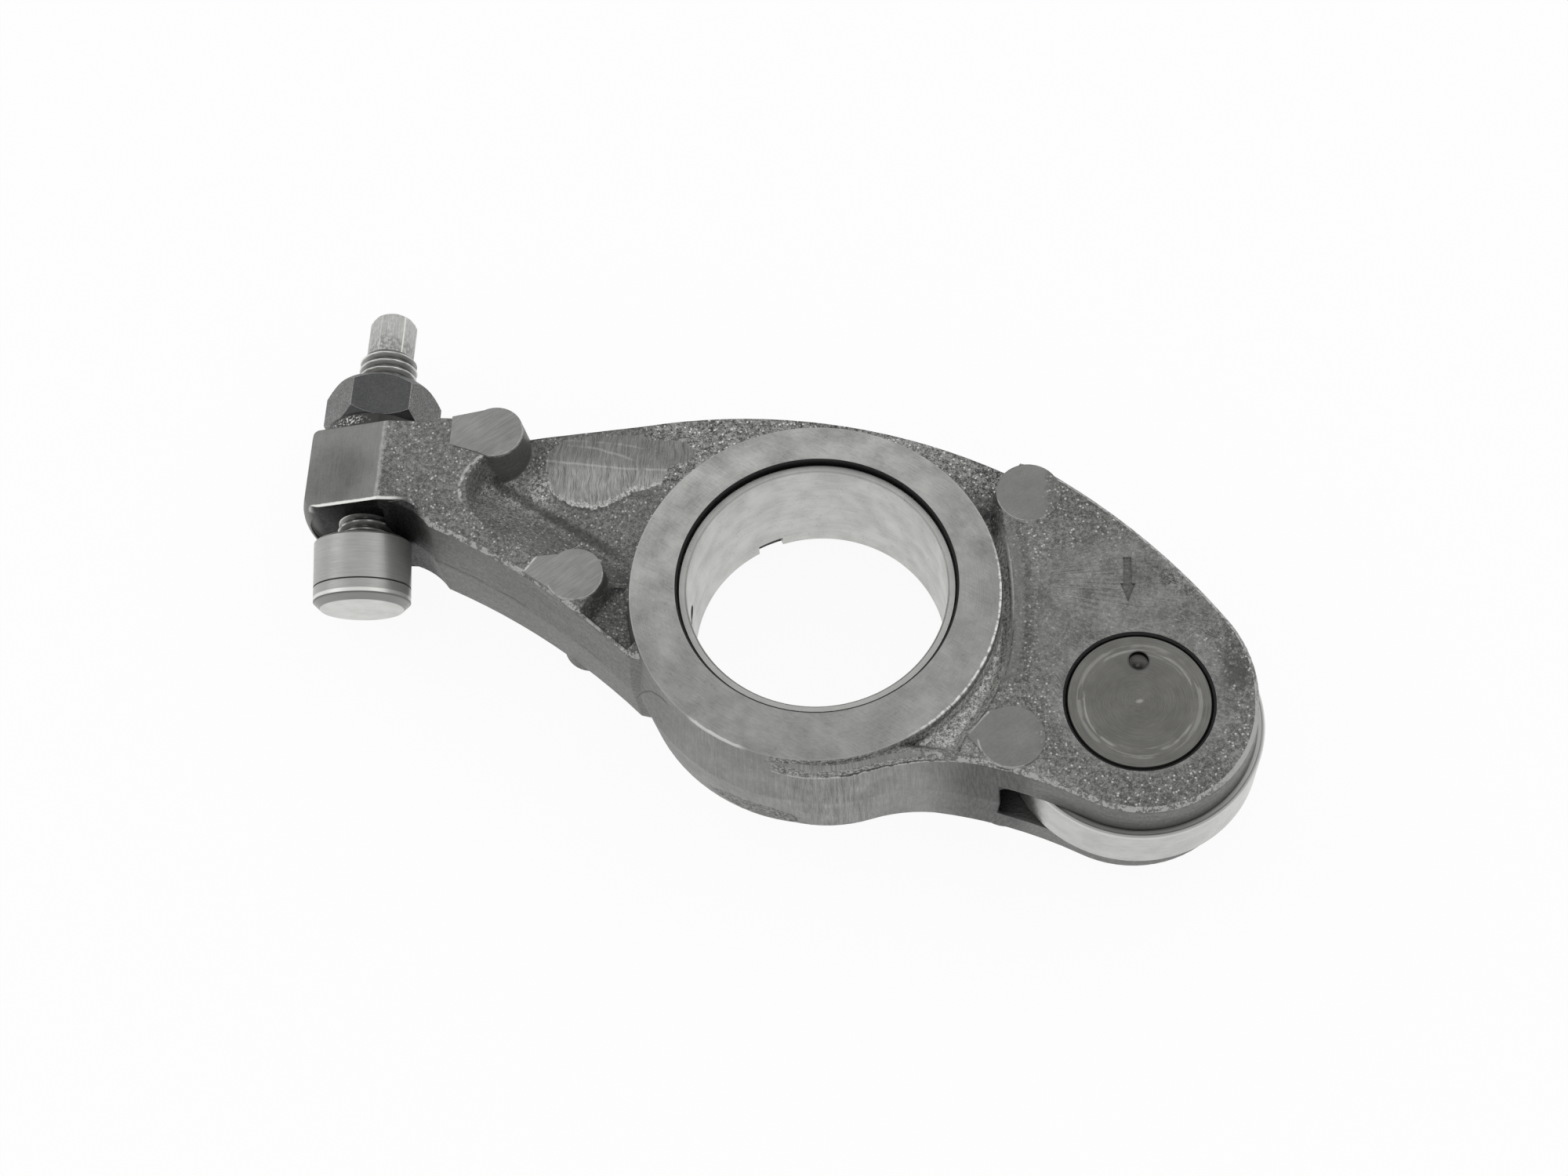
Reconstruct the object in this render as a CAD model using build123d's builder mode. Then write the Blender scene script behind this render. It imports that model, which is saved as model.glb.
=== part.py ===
"""Roller rocker arm of a heavy engine, lying on its side with its shaft bore upright.

The origin is the centre of the shaft bore. +Z runs along the bore, +Y along the adjusting
screw towards its hexagon, and +X towards the cam roller. Sizes are in millimetres.
"""
import os
from math import cos, hypot, radians, sin, sqrt, tan

from build123d import *

# Shaft bore, bush and boss
shaft_bore_d = 42.0
bush_wall = 1.5
bush_length = 23.6
boss_length = 26.2
boss_wall = 7.3
boss_flare = 1.5
boss_shift_x = -0.25
boss_shift_y = -1.1
ledge_width = 2.0
ledge_root = 0.4
ledge_swell = 0.85
ledge_start_angle = -110.0
ledge_end_angle = -72.0
bore_chamfer = 0.3
bush_chamfer = 0.35
bush_oil_hole_d = 3.2
bush_notch_width = 4.4
bush_notch_height = 2.7
bush_notch_angle = 116.0
bush_oil_hole_depth = 8.0

# Forged arm: thickness over the cheeks and the web, and the draft of its sides
cheek_thickness = 24.0
web_thickness = 12.4
draft_angle = 4.0
edge_bevel = 0.7
pad_height = 0.25

# Cam roller, its pin and floating bush, and the fork that holds them
pin_x = 51.1
pin_y = -19.0
pin_d = 23.0
pin_recess = 0.2
pin_chamfer = 0.35
pin_oil_hole_d = 3.2
pin_oil_hole_offset = 7.0
pin_oil_hole_depth = 1.2
pin_drill_angle = 118.0
roller_bush_wall = 2.0
roller_d = 40.6
roller_width = 10.2
roller_chamfer = 0.5
roller_face_recess = 0.3
roller_face_margin = 1.8
running_clearance = 0.04
fork_side_clearance = 0.3
fork_slot_r = 24.8
fork_slot_corner_r = 1.4
ear_r = 18.5
ear_angles = (-116.0, -58.0, 0.0)
nose_angle = 26.0
nose_swell = 0.9

# Screw end: block, thread, lock nut and adjusting screw
screw_x = -76.6
screw_thread_d = 10.0
thread_clearance = 0.05
block_top = 29.4
block_bottom = 14.4
block_end = 10.8
block_bevel_start = 3.6
block_bevel_end = 9.4
block_bevel_drop = 4.0
block_corner_r = 2.6
block_shoulder = 2.2
block_lap = 3.0
block_neck = 3.5
nut_seat_d = 18.0
nut_seat_height = 3.2
nut_across_flats = 17.0
nut_height = 8.4
nut_mouth_chamfer = 0.5
nut_turn = 8.5
nut_chamfer_angle = 47.0
nut_chamfer_inset = 0.2
hex_across_flats = 7.0
hex_length = 8.9
hex_crown_r = 5.2
hex_turn = 9.6
screw_above_nut = 16.2
screw_thread_end = 11.2
screw_end_bevel = 0.9
spot_face_r = 9.6
spot_face_depth = 1.0
screw_neck_step = 0.3

# Ball end of the screw and the socket foot that swivels on it
ball_d = 9.0
ball_neck_d = 5.6
ball_centre_y = 6.5
ball_clearance = 0.06
foot_d = 16.2
foot_height = 11.6
foot_below_ball = 6.1
foot_chamfer = 1.2
foot_rim_chamfer = 0.4
foot_groove_width = 0.25
foot_groove_depth = 0.2
foot_groove_from_face = 3.4
foot_mouth_r = 6.5
foot_lip_height = 2.6
foot_mouth_rise = 0.6
foot_mouth_drop = 0.2
foot_droop = 12.0
foot_lean = 3.4

# Round pads ground on the cheeks, and the pockets forged between them
pad_screw_top = (-54.5, 27.4)
pad_screw_low = (-39.2, 1.15)
pad_roller_top = (33.8, 17.6)
pad_roller_low = (31.2, -25.7)
pad_small_r = 4.65
pad_large_r = 5.25
pad_draft = 6.0
pad_skirt = 0.11
pad_tangent_angles = (27.0, 66.0, 105.7)
tail_screw_top = ((-61.9, 24.9), (-54.5, 22.75), (-54.5, 32.05), (-61.9, 30.2))
tail_screw_low = ((-47.5, 1.4), (-41.6, -2.5), (-38.0, 5.3), (-45.6, 4.3))
tail_roller_low = ((24.3, -25.7), (28.5, -30.4), (33.3, -21.2), (27.9, -21.1))
pad_forged_half = 12.8
pad_forged_rise = 4.0
pad_forged_taper = 0.5
die_mismatch_x = 0.4
die_mismatch_y = -0.9
pocket_draft = 15.0
pocket_top = 3.0
trough_top = 4.0
trough_reach = 90.0
trough_floor_r = 2.6
trough_rise_r = 18.0
rib_slope = 42.0
valley_direction = -33.0
valley_shift = -12.6
valley_half_depth = 4.0
web_rise = 11.0
groove_half_depth = 9.0
groove_draft = 32.0
belly_half_depth = 9.4
heel_half_depth = 7.0
oil_gallery_d = 3.5
oil_gallery_end_y = 20.0
oil_gallery_lap = 2.0

# Outline of the forging at the parting plane, and the plans of its pockets
heel_near_drop = 0.6
heel_middle = (8.6, 2.0)
heel_far = (12.1, 5.2)
heel_bow = 1.8
waist = (-29.8, -13.8)
arm_middle = (0.0, -20.0)
belly = (19.5, -29.95)
belly_bow = 1.0
nose_end = (65.5, -3.3)
nose_bow = -1.8
brow = (36.2, 23.4)
crown_start = (30.3, 24.9)
crown_end = (-30.6, 32.8)
crown_bow = -5.05
back_end = (-61.7, 31.2)
trough_cheek = ((-56.4, 40.0), (-56.4, 23.6), (-59.2, 17.0), (-55.4, 9.9))
trough_plan = ((-44.0, 1.0), (-30.0, -3.0), (0.0, 0.0), (24.0, 13.9), (33.5, 17.1), (33.5, 40.0))
groove_rim = ((24.3, -25.6), (29.4, -17.3), (31.4, -4.2), (30.6, 7.0), (29.0, 17.5))
groove_root = ((14.0, 8.0), (12.0, -20.0))
belly_plan = ((13.5, -27.6), (23.2, -28.4), (24.4, -25.6), (27.0, -21.0), (8.0, -14.0))
heel_plan = ((-38.0, -5.3), (-29.8, -12.1), (-20.0, 0.0), (-30.8, 3.0), (-34.2, 1.3))

# Arrow engraved on the upper cheek
arrow_x = 49.6
arrow_top = 6.2
arrow_tip = -1.8
arrow_head_length = 3.3
arrow_head_width = 2.4
arrow_shaft_width = 1.35
arrow_depth = 0.3

bush_r = shaft_bore_d / 2 + bush_wall
boss_r = bush_r + boss_wall
boss_half = boss_length / 2
cheek_half = cheek_thickness / 2
web_half = web_thickness / 2
pad_half = cheek_half + pad_height
slot_half = roller_width / 2 + fork_side_clearance
thread_r = screw_thread_d / 2


def polar(centre, radius, angle):
    """The point at a radius and an angle in degrees from a centre."""
    return (centre[0] + radius * cos(radians(angle)), centre[1] + radius * sin(radians(angle)))


pin_centre = (pin_x, pin_y)
boss_centre = (boss_shift_x, boss_shift_y)
draft_growth = cheek_half * tan(radians(draft_angle))
shoulder_x = screw_x + nut_seat_d / 2 + block_shoulder
block_root_x = shoulder_x + block_lap
neck_x = screw_x + block_neck
neck_y = block_bottom + block_lap
nose_r = ear_r + draft_growth
pad_outline_r = pad_small_r + draft_growth + pad_skirt


# Drafted round pads with their ground tails, from the parting plane up
with BuildPart() as pads:
    for centre, radius in (
        (pad_screw_top, pad_small_r),
        (pad_screw_low, pad_small_r),
        (pad_roller_top, pad_large_r),
        (pad_roller_low, pad_large_r),
    ):
        with Locations((centre[0], centre[1], pad_half / 2)):
            Cone(radius + pad_half * tan(radians(pad_draft)), radius, pad_half)
    for tail in (tail_screw_top, tail_screw_low, tail_roller_low):
        with BuildSketch():
            with BuildLine():
                Polyline(*tail, close=True)
            make_face()
        extrude(amount=pad_half)

# Upper half of the forging: the drafted outline, drawn at the parting plane
with BuildPart() as arm_half:
    with BuildSketch() as arm_outline:
        with BuildLine():
            heel_start = (neck_x, block_bottom - heel_near_drop)
            heel_turn = (screw_x + heel_middle[0], block_bottom - heel_middle[1])
            heel_end = (screw_x + heel_far[0], block_bottom - heel_far[1])
            ledge_start = polar(boss_centre, boss_r + ledge_root, ledge_start_angle)
            ledge_middle_angle = (ledge_start_angle + ledge_end_angle) / 2
            ledge_middle = polar(boss_centre, boss_r + ledge_width * ledge_swell, ledge_middle_angle)
            ledge_end = polar(boss_centre, boss_r + ledge_width, ledge_end_angle)
            ear_start = polar(pin_centre, nose_r, ear_angles[0])
            ear_middle = polar(pin_centre, nose_r, ear_angles[1])
            ear_end = polar(pin_centre, nose_r, ear_angles[2])
            nose_middle = polar(pin_centre, nose_r + nose_swell, nose_angle)
            pad_side = polar(pad_screw_top, pad_outline_r, pad_tangent_angles[0])
            pad_crest = polar(pad_screw_top, pad_outline_r, pad_tangent_angles[1])
            pad_flank = polar(pad_screw_top, pad_outline_r, pad_tangent_angles[2])
            Line((neck_x, neck_y), heel_start)
            ThreePointArc(heel_start, heel_turn, heel_end)
            SagittaArc(heel_end, waist, heel_bow)
            Line(waist, arm_middle)
            Line(arm_middle, ledge_start)
            ledge_arc = ThreePointArc(ledge_start, ledge_middle, ledge_end)
            TangentArc(ledge_end, belly, tangent=ledge_arc % 1)
            SagittaArc(belly, ear_start, belly_bow)
            ThreePointArc(ear_start, ear_middle, ear_end)
            ThreePointArc(ear_end, nose_middle, nose_end)
            SagittaArc(nose_end, brow, nose_bow)
            Line(brow, crown_start)
            SagittaArc(crown_start, crown_end, crown_bow)
            Line(crown_end, pad_side)
            ThreePointArc(pad_side, pad_crest, pad_flank)
            Polyline(
                pad_flank,
                back_end,
                (shoulder_x, back_end[1]),
                (shoulder_x, neck_y),
                (neck_x, neck_y),
            )
        make_face()
    extrude(amount=cheek_half - edge_bevel, taper=draft_angle)
    extrude(arm_half.faces().sort_by(Axis.Z)[-1], amount=edge_bevel, taper=45)

    # Pockets: a web and trough with a sloping floor, and three smaller hollows, all clear of the pads
    with BuildPart(mode=Mode.PRIVATE) as pockets:
        with BuildSketch(Plane.XY.offset(cheek_half + pocket_top)):
            with BuildLine():
                Line(trough_cheek[0], trough_cheek[1])
                ThreePointArc(*trough_cheek[1:])
                Polyline(trough_cheek[-1], *trough_plan, trough_cheek[0])
            make_face()
        extrude(amount=-cheek_half, taper=pocket_draft)
        trough_plane = Plane(
            origin=(0, 0, 0),
            x_dir=(-sin(radians(valley_direction)), cos(radians(valley_direction)), 0),
            z_dir=(cos(radians(valley_direction)), sin(radians(valley_direction)), 0),
        )
        with BuildSketch(trough_plane) as trough_section:
            with BuildLine():
                rib_height = cheek_half + trough_top - valley_half_depth
                rib_top = (valley_shift - rib_height / tan(radians(rib_slope)), cheek_half + trough_top)
                valley = (valley_shift, valley_half_depth)
                rise_run = (web_half - valley_half_depth) / tan(radians(web_rise))
                rise_end = (valley_shift + rise_run, web_half)
                far_floor = (trough_reach, web_half)
                far_top = (trough_reach, cheek_half + trough_top)
                Polyline(rib_top, valley, rise_end, far_floor, far_top, rib_top)
            make_face()
            fillet(trough_section.vertices().sort_by(Axis.Y)[0], trough_floor_r)
            web_corners = trough_section.vertices().filter_by(
                lambda corner: abs(corner.Y - web_half) < 0.01
            )
            fillet(web_corners.sort_by(Axis.X)[0], trough_rise_r)
        extrude(amount=trough_reach, both=True, mode=Mode.INTERSECT)
        with BuildSketch(Plane.XY.offset(cheek_half)):
            with BuildLine():
                ThreePointArc(*groove_rim[:3])
                ThreePointArc(*groove_rim[2:])
                Polyline(groove_rim[-1], *groove_root, groove_rim[0])
            make_face()
        extrude(amount=groove_half_depth - cheek_half, taper=groove_draft)
        with BuildSketch(Plane.XY.offset(cheek_half)):
            with BuildLine():
                Polyline(*belly_plan, close=True)
            make_face()
        extrude(amount=belly_half_depth - cheek_half, taper=groove_draft)
        with BuildSketch(Plane.XY.offset(cheek_half)):
            with BuildLine():
                Polyline(*heel_plan, close=True)
            make_face()
        extrude(amount=heel_half_depth - cheek_half, taper=pocket_draft)
        add(pads.part, mode=Mode.SUBTRACT)
    add(pockets.part, mode=Mode.SUBTRACT)

    # Drafted boss, and the ground faces of the pads
    with Locations((boss_shift_x, boss_shift_y, boss_half / 2)):
        Cone(boss_r + boss_flare, boss_r, boss_half)
    with BuildPart(mode=Mode.PRIVATE) as pad_faces:
        add(pads.part)
        split(bisect_by=Plane.XY.offset(cheek_half - edge_bevel), keep=Keep.TOP)
    add(pad_faces.part)

# Whole forging with its screw block
with BuildPart() as rocker_body:
    add(arm_half.part)
    mirror(arm_half.part, about=Plane.XY)

    # The low pad underneath is left as forged, a little proud and off its twin
    forged_pad_x = pad_screw_low[0] + die_mismatch_x
    forged_pad_y = pad_screw_low[1] + die_mismatch_y
    with Locations((forged_pad_x, forged_pad_y, pad_forged_rise / 2 - pad_forged_half)):
        Cone(pad_small_r, pad_small_r - pad_forged_taper, pad_forged_rise)

    # Block for the screw, with a bevelled and bulged end
    with BuildSketch(Plane.XZ.offset(-block_bottom)):
        with BuildLine():
            bevel_top = (screw_x + block_bevel_start, cheek_half)
            bevel_foot = (screw_x - block_bevel_end, cheek_half - block_bevel_drop)
            low_bevel_top = (bevel_top[0], -bevel_top[1])
            low_bevel_foot = (bevel_foot[0], -bevel_foot[1])
            end_middle = (screw_x - block_end, 0)
            Polyline((block_root_x, cheek_half), bevel_top, bevel_foot)
            ThreePointArc(bevel_foot, end_middle, low_bevel_foot)
            Polyline(low_bevel_foot, low_bevel_top, (block_root_x, -cheek_half), (block_root_x, cheek_half))
        make_face()
    extrude(amount=block_bottom - block_top)
    block_ends = rocker_body.faces().sort_by(Axis.X)[0].edges()
    fillet(block_ends.sort_by(Axis.Y)[0], block_corner_r)
    fillet(rocker_body.faces().sort_by(Axis.X)[0].edges().sort_by(Axis.Y)[-1], block_corner_r / 3)
    with Locations(Plane.XZ.offset(-block_top)):
        with Locations((screw_x, 0)):
            Cylinder(nut_seat_d / 2, nut_seat_height, align=(Align.CENTER, Align.CENTER, Align.MAX))
            Cylinder(thread_r + thread_clearance, 4 * (block_top - block_bottom), mode=Mode.SUBTRACT)
    with Locations(Plane.XZ.offset(-block_bottom)):
        with Locations((screw_x, 0)):
            Cylinder(
                spot_face_r,
                spot_face_depth,
                align=(Align.CENTER, Align.CENTER, Align.MAX),
                mode=Mode.SUBTRACT,
            )

    # Shaft bore, pin bore and the slot the roller turns in
    with Locations((0, 0, 0)):
        Cylinder(bush_r, boss_length + cheek_thickness, mode=Mode.SUBTRACT)
    bore_rims = rocker_body.edges().filter_by(GeomType.CIRCLE).filter_by(
        lambda edge: abs(edge.radius - bush_r) < 0.01 and hypot(edge.arc_center.X, edge.arc_center.Y) < 0.01
    )
    chamfer(bore_rims, bore_chamfer)
    with Locations((pin_x, pin_y, 0)):
        Cylinder(pin_d / 2, 2 * cheek_half, mode=Mode.SUBTRACT)
    pin_rims = rocker_body.edges().filter_by(GeomType.CIRCLE).filter_by(
        lambda edge: abs(edge.radius - pin_d / 2) < 0.01 and abs(edge.arc_center.X - pin_x) < 0.01
    )
    chamfer(pin_rims, pin_chamfer)
    with BuildPart(mode=Mode.PRIVATE) as fork_slot:
        with Locations((pin_x, pin_y, 0)):
            Cylinder(fork_slot_r, 2 * slot_half)
        fillet(fork_slot.edges().filter_by(GeomType.CIRCLE), fork_slot_corner_r)
    add(fork_slot.part, mode=Mode.SUBTRACT)

    # Oil drilling from the bush to the screw thread
    gallery_run = screw_x + bush_r
    gallery_rise = oil_gallery_end_y
    gallery_length = hypot(gallery_run, gallery_rise)
    gallery_plane = Plane(
        origin=(oil_gallery_lap - bush_r, 0, 0),
        x_dir=(0, 0, 1),
        z_dir=(gallery_run, gallery_rise, 0),
    )
    with Locations(gallery_plane):
        Cylinder(
            oil_gallery_d / 2,
            gallery_length + oil_gallery_lap,
            align=(Align.CENTER, Align.CENTER, Align.MIN),
            mode=Mode.SUBTRACT,
        )

    # Arrow engraved on the upper cheek
    with BuildSketch(Plane.XY.offset(cheek_half)):
        with BuildLine():
            Polyline(
                (arrow_x + arrow_shaft_width / 2, arrow_top),
                (arrow_x - arrow_shaft_width / 2, arrow_top),
                (arrow_x - arrow_shaft_width / 2, arrow_tip + arrow_head_length),
                (arrow_x - arrow_head_width / 2, arrow_tip + arrow_head_length),
                (arrow_x, arrow_tip),
                (arrow_x + arrow_head_width / 2, arrow_tip + arrow_head_length),
                (arrow_x + arrow_shaft_width / 2, arrow_tip + arrow_head_length),
                close=True,
            )
        make_face()
    extrude(amount=-arrow_depth, mode=Mode.SUBTRACT)
rocker_body.part.label = "rocker_body"


# Steel bush pressed into the shaft bore, open to the oil drilling and notched at its lower end
with BuildPart() as shaft_bush:
    Cylinder(bush_r, bush_length)
    Cylinder(shaft_bore_d / 2, bush_length, mode=Mode.SUBTRACT)
    chamfer(shaft_bush.edges().filter_by(GeomType.CIRCLE), bush_chamfer)
    with Locations(gallery_plane):
        Cylinder(bush_oil_hole_d / 2, bush_oil_hole_depth, mode=Mode.SUBTRACT)
    notch_place = Location((0, 0, -bush_length / 2), (0, 0, bush_notch_angle))
    with Locations(notch_place):
        Box(
            bush_r + bush_wall,
            bush_notch_width,
            bush_notch_height,
            align=(Align.MIN, Align.CENTER, Align.MIN),
            mode=Mode.SUBTRACT,
        )
shaft_bush.part.label = "shaft_bush"

# Pin pressed through both ears of the fork, with a shallow drilled hole in its upper end
with BuildPart() as roller_pin:
    with Locations((pin_x, pin_y, 0)):
        Cylinder(pin_d / 2, 2 * (cheek_half - pin_recess))
    chamfer(roller_pin.edges().filter_by(GeomType.CIRCLE), pin_chamfer)
    with Locations((pin_x, pin_y + pin_oil_hole_offset, cheek_half - pin_recess)):
        Cylinder(
            pin_oil_hole_d / 2,
            pin_oil_hole_depth,
            align=(Align.CENTER, Align.CENTER, Align.MAX),
            mode=Mode.SUBTRACT,
        )
    drill_tip = pin_oil_hole_d / 2 / tan(radians(pin_drill_angle / 2))
    with Locations((pin_x, pin_y + pin_oil_hole_offset, cheek_half - pin_recess - pin_oil_hole_depth)):
        Cone(
            0,
            pin_oil_hole_d / 2,
            drill_tip,
            align=(Align.CENTER, Align.CENTER, Align.MAX),
            mode=Mode.SUBTRACT,
        )
roller_pin.part.label = "roller_pin"

# Floating bush between the pin and the roller
roller_bush_r = pin_d / 2 + running_clearance + roller_bush_wall
with BuildPart() as roller_bush:
    with Locations((pin_x, pin_y, 0)):
        Cylinder(roller_bush_r, roller_width - 0.2)
        Cylinder(pin_d / 2 + running_clearance, roller_width, mode=Mode.SUBTRACT)
roller_bush.part.label = "roller_bush"

# Cam roller
with BuildPart() as cam_roller:
    with Locations((pin_x, pin_y, 0)):
        Cylinder(roller_d / 2, roller_width)
        Cylinder(roller_bush_r + running_clearance, roller_width, mode=Mode.SUBTRACT)
    chamfer(cam_roller.edges().filter_by(GeomType.CIRCLE), roller_chamfer)
    for side in (1, -1):
        with BuildSketch(Plane.XY.offset(side * roller_width / 2)):
            with Locations((pin_x, pin_y)):
                Circle(roller_d / 2 - roller_face_margin)
                Circle(roller_bush_r + roller_face_margin, mode=Mode.SUBTRACT)
        extrude(amount=-side * roller_face_recess, mode=Mode.SUBTRACT)
cam_roller.part.label = "cam_roller"

# Lock nut, both ends chamfered by a turned cone
nut_bottom = block_top + nut_seat_height
nut_corner_r = nut_across_flats / sqrt(3)
nut_chamfer_run = nut_corner_r - nut_across_flats / 2 + nut_chamfer_inset
nut_chamfer_drop = nut_chamfer_run * tan(radians(nut_chamfer_angle))
with BuildPart() as lock_nut:
    with BuildSketch(Plane.XZ.offset(-nut_bottom)):
        with Locations((screw_x, 0)):
            RegularPolygon(nut_across_flats / 2, 6, major_radius=False, rotation=-nut_turn)
    extrude(amount=-nut_height)
    with BuildSketch(Plane.XY) as nut_turning:
        with BuildLine():
            Polyline(
                (screw_x, nut_bottom),
                (screw_x + nut_corner_r - nut_chamfer_run, nut_bottom),
                (screw_x + nut_corner_r, nut_bottom + nut_chamfer_drop),
                (screw_x + nut_corner_r, nut_bottom + nut_height - nut_chamfer_drop),
                (screw_x + nut_corner_r - nut_chamfer_run, nut_bottom + nut_height),
                (screw_x, nut_bottom + nut_height),
                close=True,
            )
        make_face()
    revolve(axis=Axis((screw_x, 0, 0), (0, 1, 0)), mode=Mode.INTERSECT)
    with Locations(Plane.XZ.offset(-nut_bottom)):
        with Locations((screw_x, 0)):
            Cylinder(thread_r + thread_clearance, 3 * nut_height, mode=Mode.SUBTRACT)
    nut_mouths = lock_nut.edges().filter_by(GeomType.CIRCLE).filter_by(
        lambda edge: abs(edge.radius - thread_r - thread_clearance) < 0.01
    )
    chamfer(nut_mouths, nut_mouth_chamfer)
lock_nut.part.label = "lock_nut"

# Adjusting screw: ball, neck, threaded shank and hexagon, turned about the screw axis
screw_top = nut_bottom + nut_height + screw_above_nut
hex_base = screw_top - hex_length
with BuildPart() as adjusting_screw:
    with BuildSketch(Plane.XY) as shank_profile:
        with BuildLine():
            Polyline(
                (screw_x, ball_centre_y),
                (screw_x + ball_neck_d / 2, ball_centre_y),
                (screw_x + ball_neck_d / 2, screw_thread_end - screw_neck_step),
                (screw_x + thread_r - screw_end_bevel, screw_thread_end),
                (screw_x + thread_r, screw_thread_end + screw_end_bevel),
                (screw_x + thread_r, hex_base - screw_end_bevel),
                (screw_x + thread_r - screw_end_bevel, hex_base),
                (screw_x, hex_base),
                close=True,
            )
        make_face()
    revolve(axis=Axis((screw_x, 0, 0), (0, 1, 0)))
    with Locations((screw_x, ball_centre_y, 0)):
        Sphere(ball_d / 2)
    with BuildPart(mode=Mode.PRIVATE) as hexagon:
        with BuildSketch(Plane.XZ.offset(-hex_base)):
            with Locations((screw_x, 0)):
                RegularPolygon(hex_across_flats / 2, 6, major_radius=False, rotation=-hex_turn)
        extrude(amount=-hex_length)
        with BuildSketch(Plane.XY):
            with BuildLine():
                crown_edge = (screw_x + hex_crown_r, screw_top - hex_crown_r)
                crown_middle = polar((screw_x, screw_top - hex_crown_r), hex_crown_r, 45)
                crown_base = (screw_x + hex_crown_r, hex_base)
                Polyline((screw_x, screw_top), (screw_x, hex_base), crown_base, crown_edge)
                ThreePointArc(crown_edge, crown_middle, (screw_x, screw_top))
            make_face()
        revolve(axis=Axis((screw_x, 0, 0), (0, 1, 0)), mode=Mode.INTERSECT)
    add(hexagon.part)
adjusting_screw.part.label = "adjusting_screw"

# Socket foot, turned about its own axis and left hanging at its stop under the block
foot_r = foot_d / 2
foot_face_y = ball_centre_y - foot_below_ball
foot_top_y = foot_face_y + foot_height
socket_r = ball_d / 2 + ball_clearance
groove_y = foot_face_y + foot_groove_from_face
with BuildPart() as foot_upright:
    with BuildSketch(Plane.XY):
        with BuildLine():
            Polyline(
                (screw_x, foot_face_y),
                (screw_x + foot_r - foot_chamfer, foot_face_y),
                (screw_x + foot_r, foot_face_y + foot_chamfer),
                (screw_x + foot_r, groove_y),
                (screw_x + foot_r - foot_groove_depth, groove_y),
                (screw_x + foot_r - foot_groove_depth, groove_y + foot_groove_width),
                (screw_x + foot_r, groove_y + foot_groove_width),
                (screw_x + foot_r, foot_top_y - foot_rim_chamfer),
                (screw_x + foot_r - foot_rim_chamfer, foot_top_y),
                (screw_x + foot_mouth_r, foot_top_y),
                (screw_x + foot_mouth_r, ball_centre_y + foot_lip_height + foot_mouth_rise),
                (screw_x, ball_centre_y + foot_lip_height - foot_mouth_drop),
                close=True,
            )
        make_face()
    revolve(axis=Axis((screw_x, 0, 0), (0, 1, 0)))
    with Locations((screw_x, ball_centre_y, 0)):
        Sphere(socket_r, mode=Mode.SUBTRACT)
with BuildPart() as socket_foot:
    drooped = foot_upright.part.rotate(Axis((screw_x, ball_centre_y, 0), (1, 0, 0)), foot_droop)
    add(drooped.rotate(Axis((screw_x, ball_centre_y, 0), (0, 0, 1)), foot_lean))
socket_foot.part.label = "socket_foot"

if __name__ == "__main__":
    os.makedirs("parts", exist_ok=True)
    export_step(rocker_body.part, "parts/rocker_body.step")
    export_step(shaft_bush.part, "parts/shaft_bush.step")
    export_step(roller_pin.part, "parts/roller_pin.step")
    export_step(roller_bush.part, "parts/roller_bush.step")
    export_step(cam_roller.part, "parts/cam_roller.step")
    export_step(lock_nut.part, "parts/lock_nut.step")
    export_step(adjusting_screw.part, "parts/adjusting_screw.step")
    export_step(socket_foot.part, "parts/socket_foot.step")
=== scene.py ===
# %% [markdown]
# # Roller rocker arm
#
# A rocker arm carries the lift of a cam to a valve. A forged steel arm swings on a shaft, a roller
# follows the cam at one end, and a screw with a swivelling foot presses on the valve at the other.
# The CAD model holds every size and joint, so it is loaded as a fixed frame, and this script only
# dresses it. Modelling it again here would let the two drift apart.

# %% Load the frame
import bmesh
import bpy
from math import atan2, ceil, cos, degrees, floor, pi, radians, sin, sqrt
from mathutils import Matrix, Vector


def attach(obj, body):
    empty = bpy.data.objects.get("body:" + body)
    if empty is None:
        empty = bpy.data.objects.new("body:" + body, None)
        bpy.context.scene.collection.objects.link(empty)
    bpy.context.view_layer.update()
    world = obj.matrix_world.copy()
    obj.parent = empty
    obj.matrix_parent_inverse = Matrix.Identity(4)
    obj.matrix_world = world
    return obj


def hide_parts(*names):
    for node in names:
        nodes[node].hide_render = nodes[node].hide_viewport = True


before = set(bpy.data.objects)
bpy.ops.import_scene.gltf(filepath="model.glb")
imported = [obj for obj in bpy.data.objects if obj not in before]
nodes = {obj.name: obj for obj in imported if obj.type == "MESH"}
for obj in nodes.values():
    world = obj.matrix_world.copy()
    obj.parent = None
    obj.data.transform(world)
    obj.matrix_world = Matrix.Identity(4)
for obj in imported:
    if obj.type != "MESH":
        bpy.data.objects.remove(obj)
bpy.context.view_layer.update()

# %% [markdown]
# ## Sizes
#
# Machined faces, forged skin and worn edges lie at known places of the arm, and the finishes find
# them from the place on the piece. The places that several finishes share stand here, in
# millimetres, in the frame of the CAD model. Painted or unwrapped masks would also do, but they are
# lost when a shape changes.

# %% Sizes in millimetres
MM = 0.001
BOSS_CENTRE = (-0.25, -1.1)
BOSS_FACE = 13.1
BUSH_R = 22.5
CHEEK = 12.0
PIN = (51.1, -19.0)
PIN_R = 11.5
SCREW_X = -76.6
BALL_Y = 6.5
print("pin at", PIN, "screw at x", SCREW_X)

# %% [markdown]
# ## Camera
#
# A pinhole camera looks down on the front of the arm. It is placed by a matrix, because the three
# axes of a view are measured more easily than its three angles.

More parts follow.
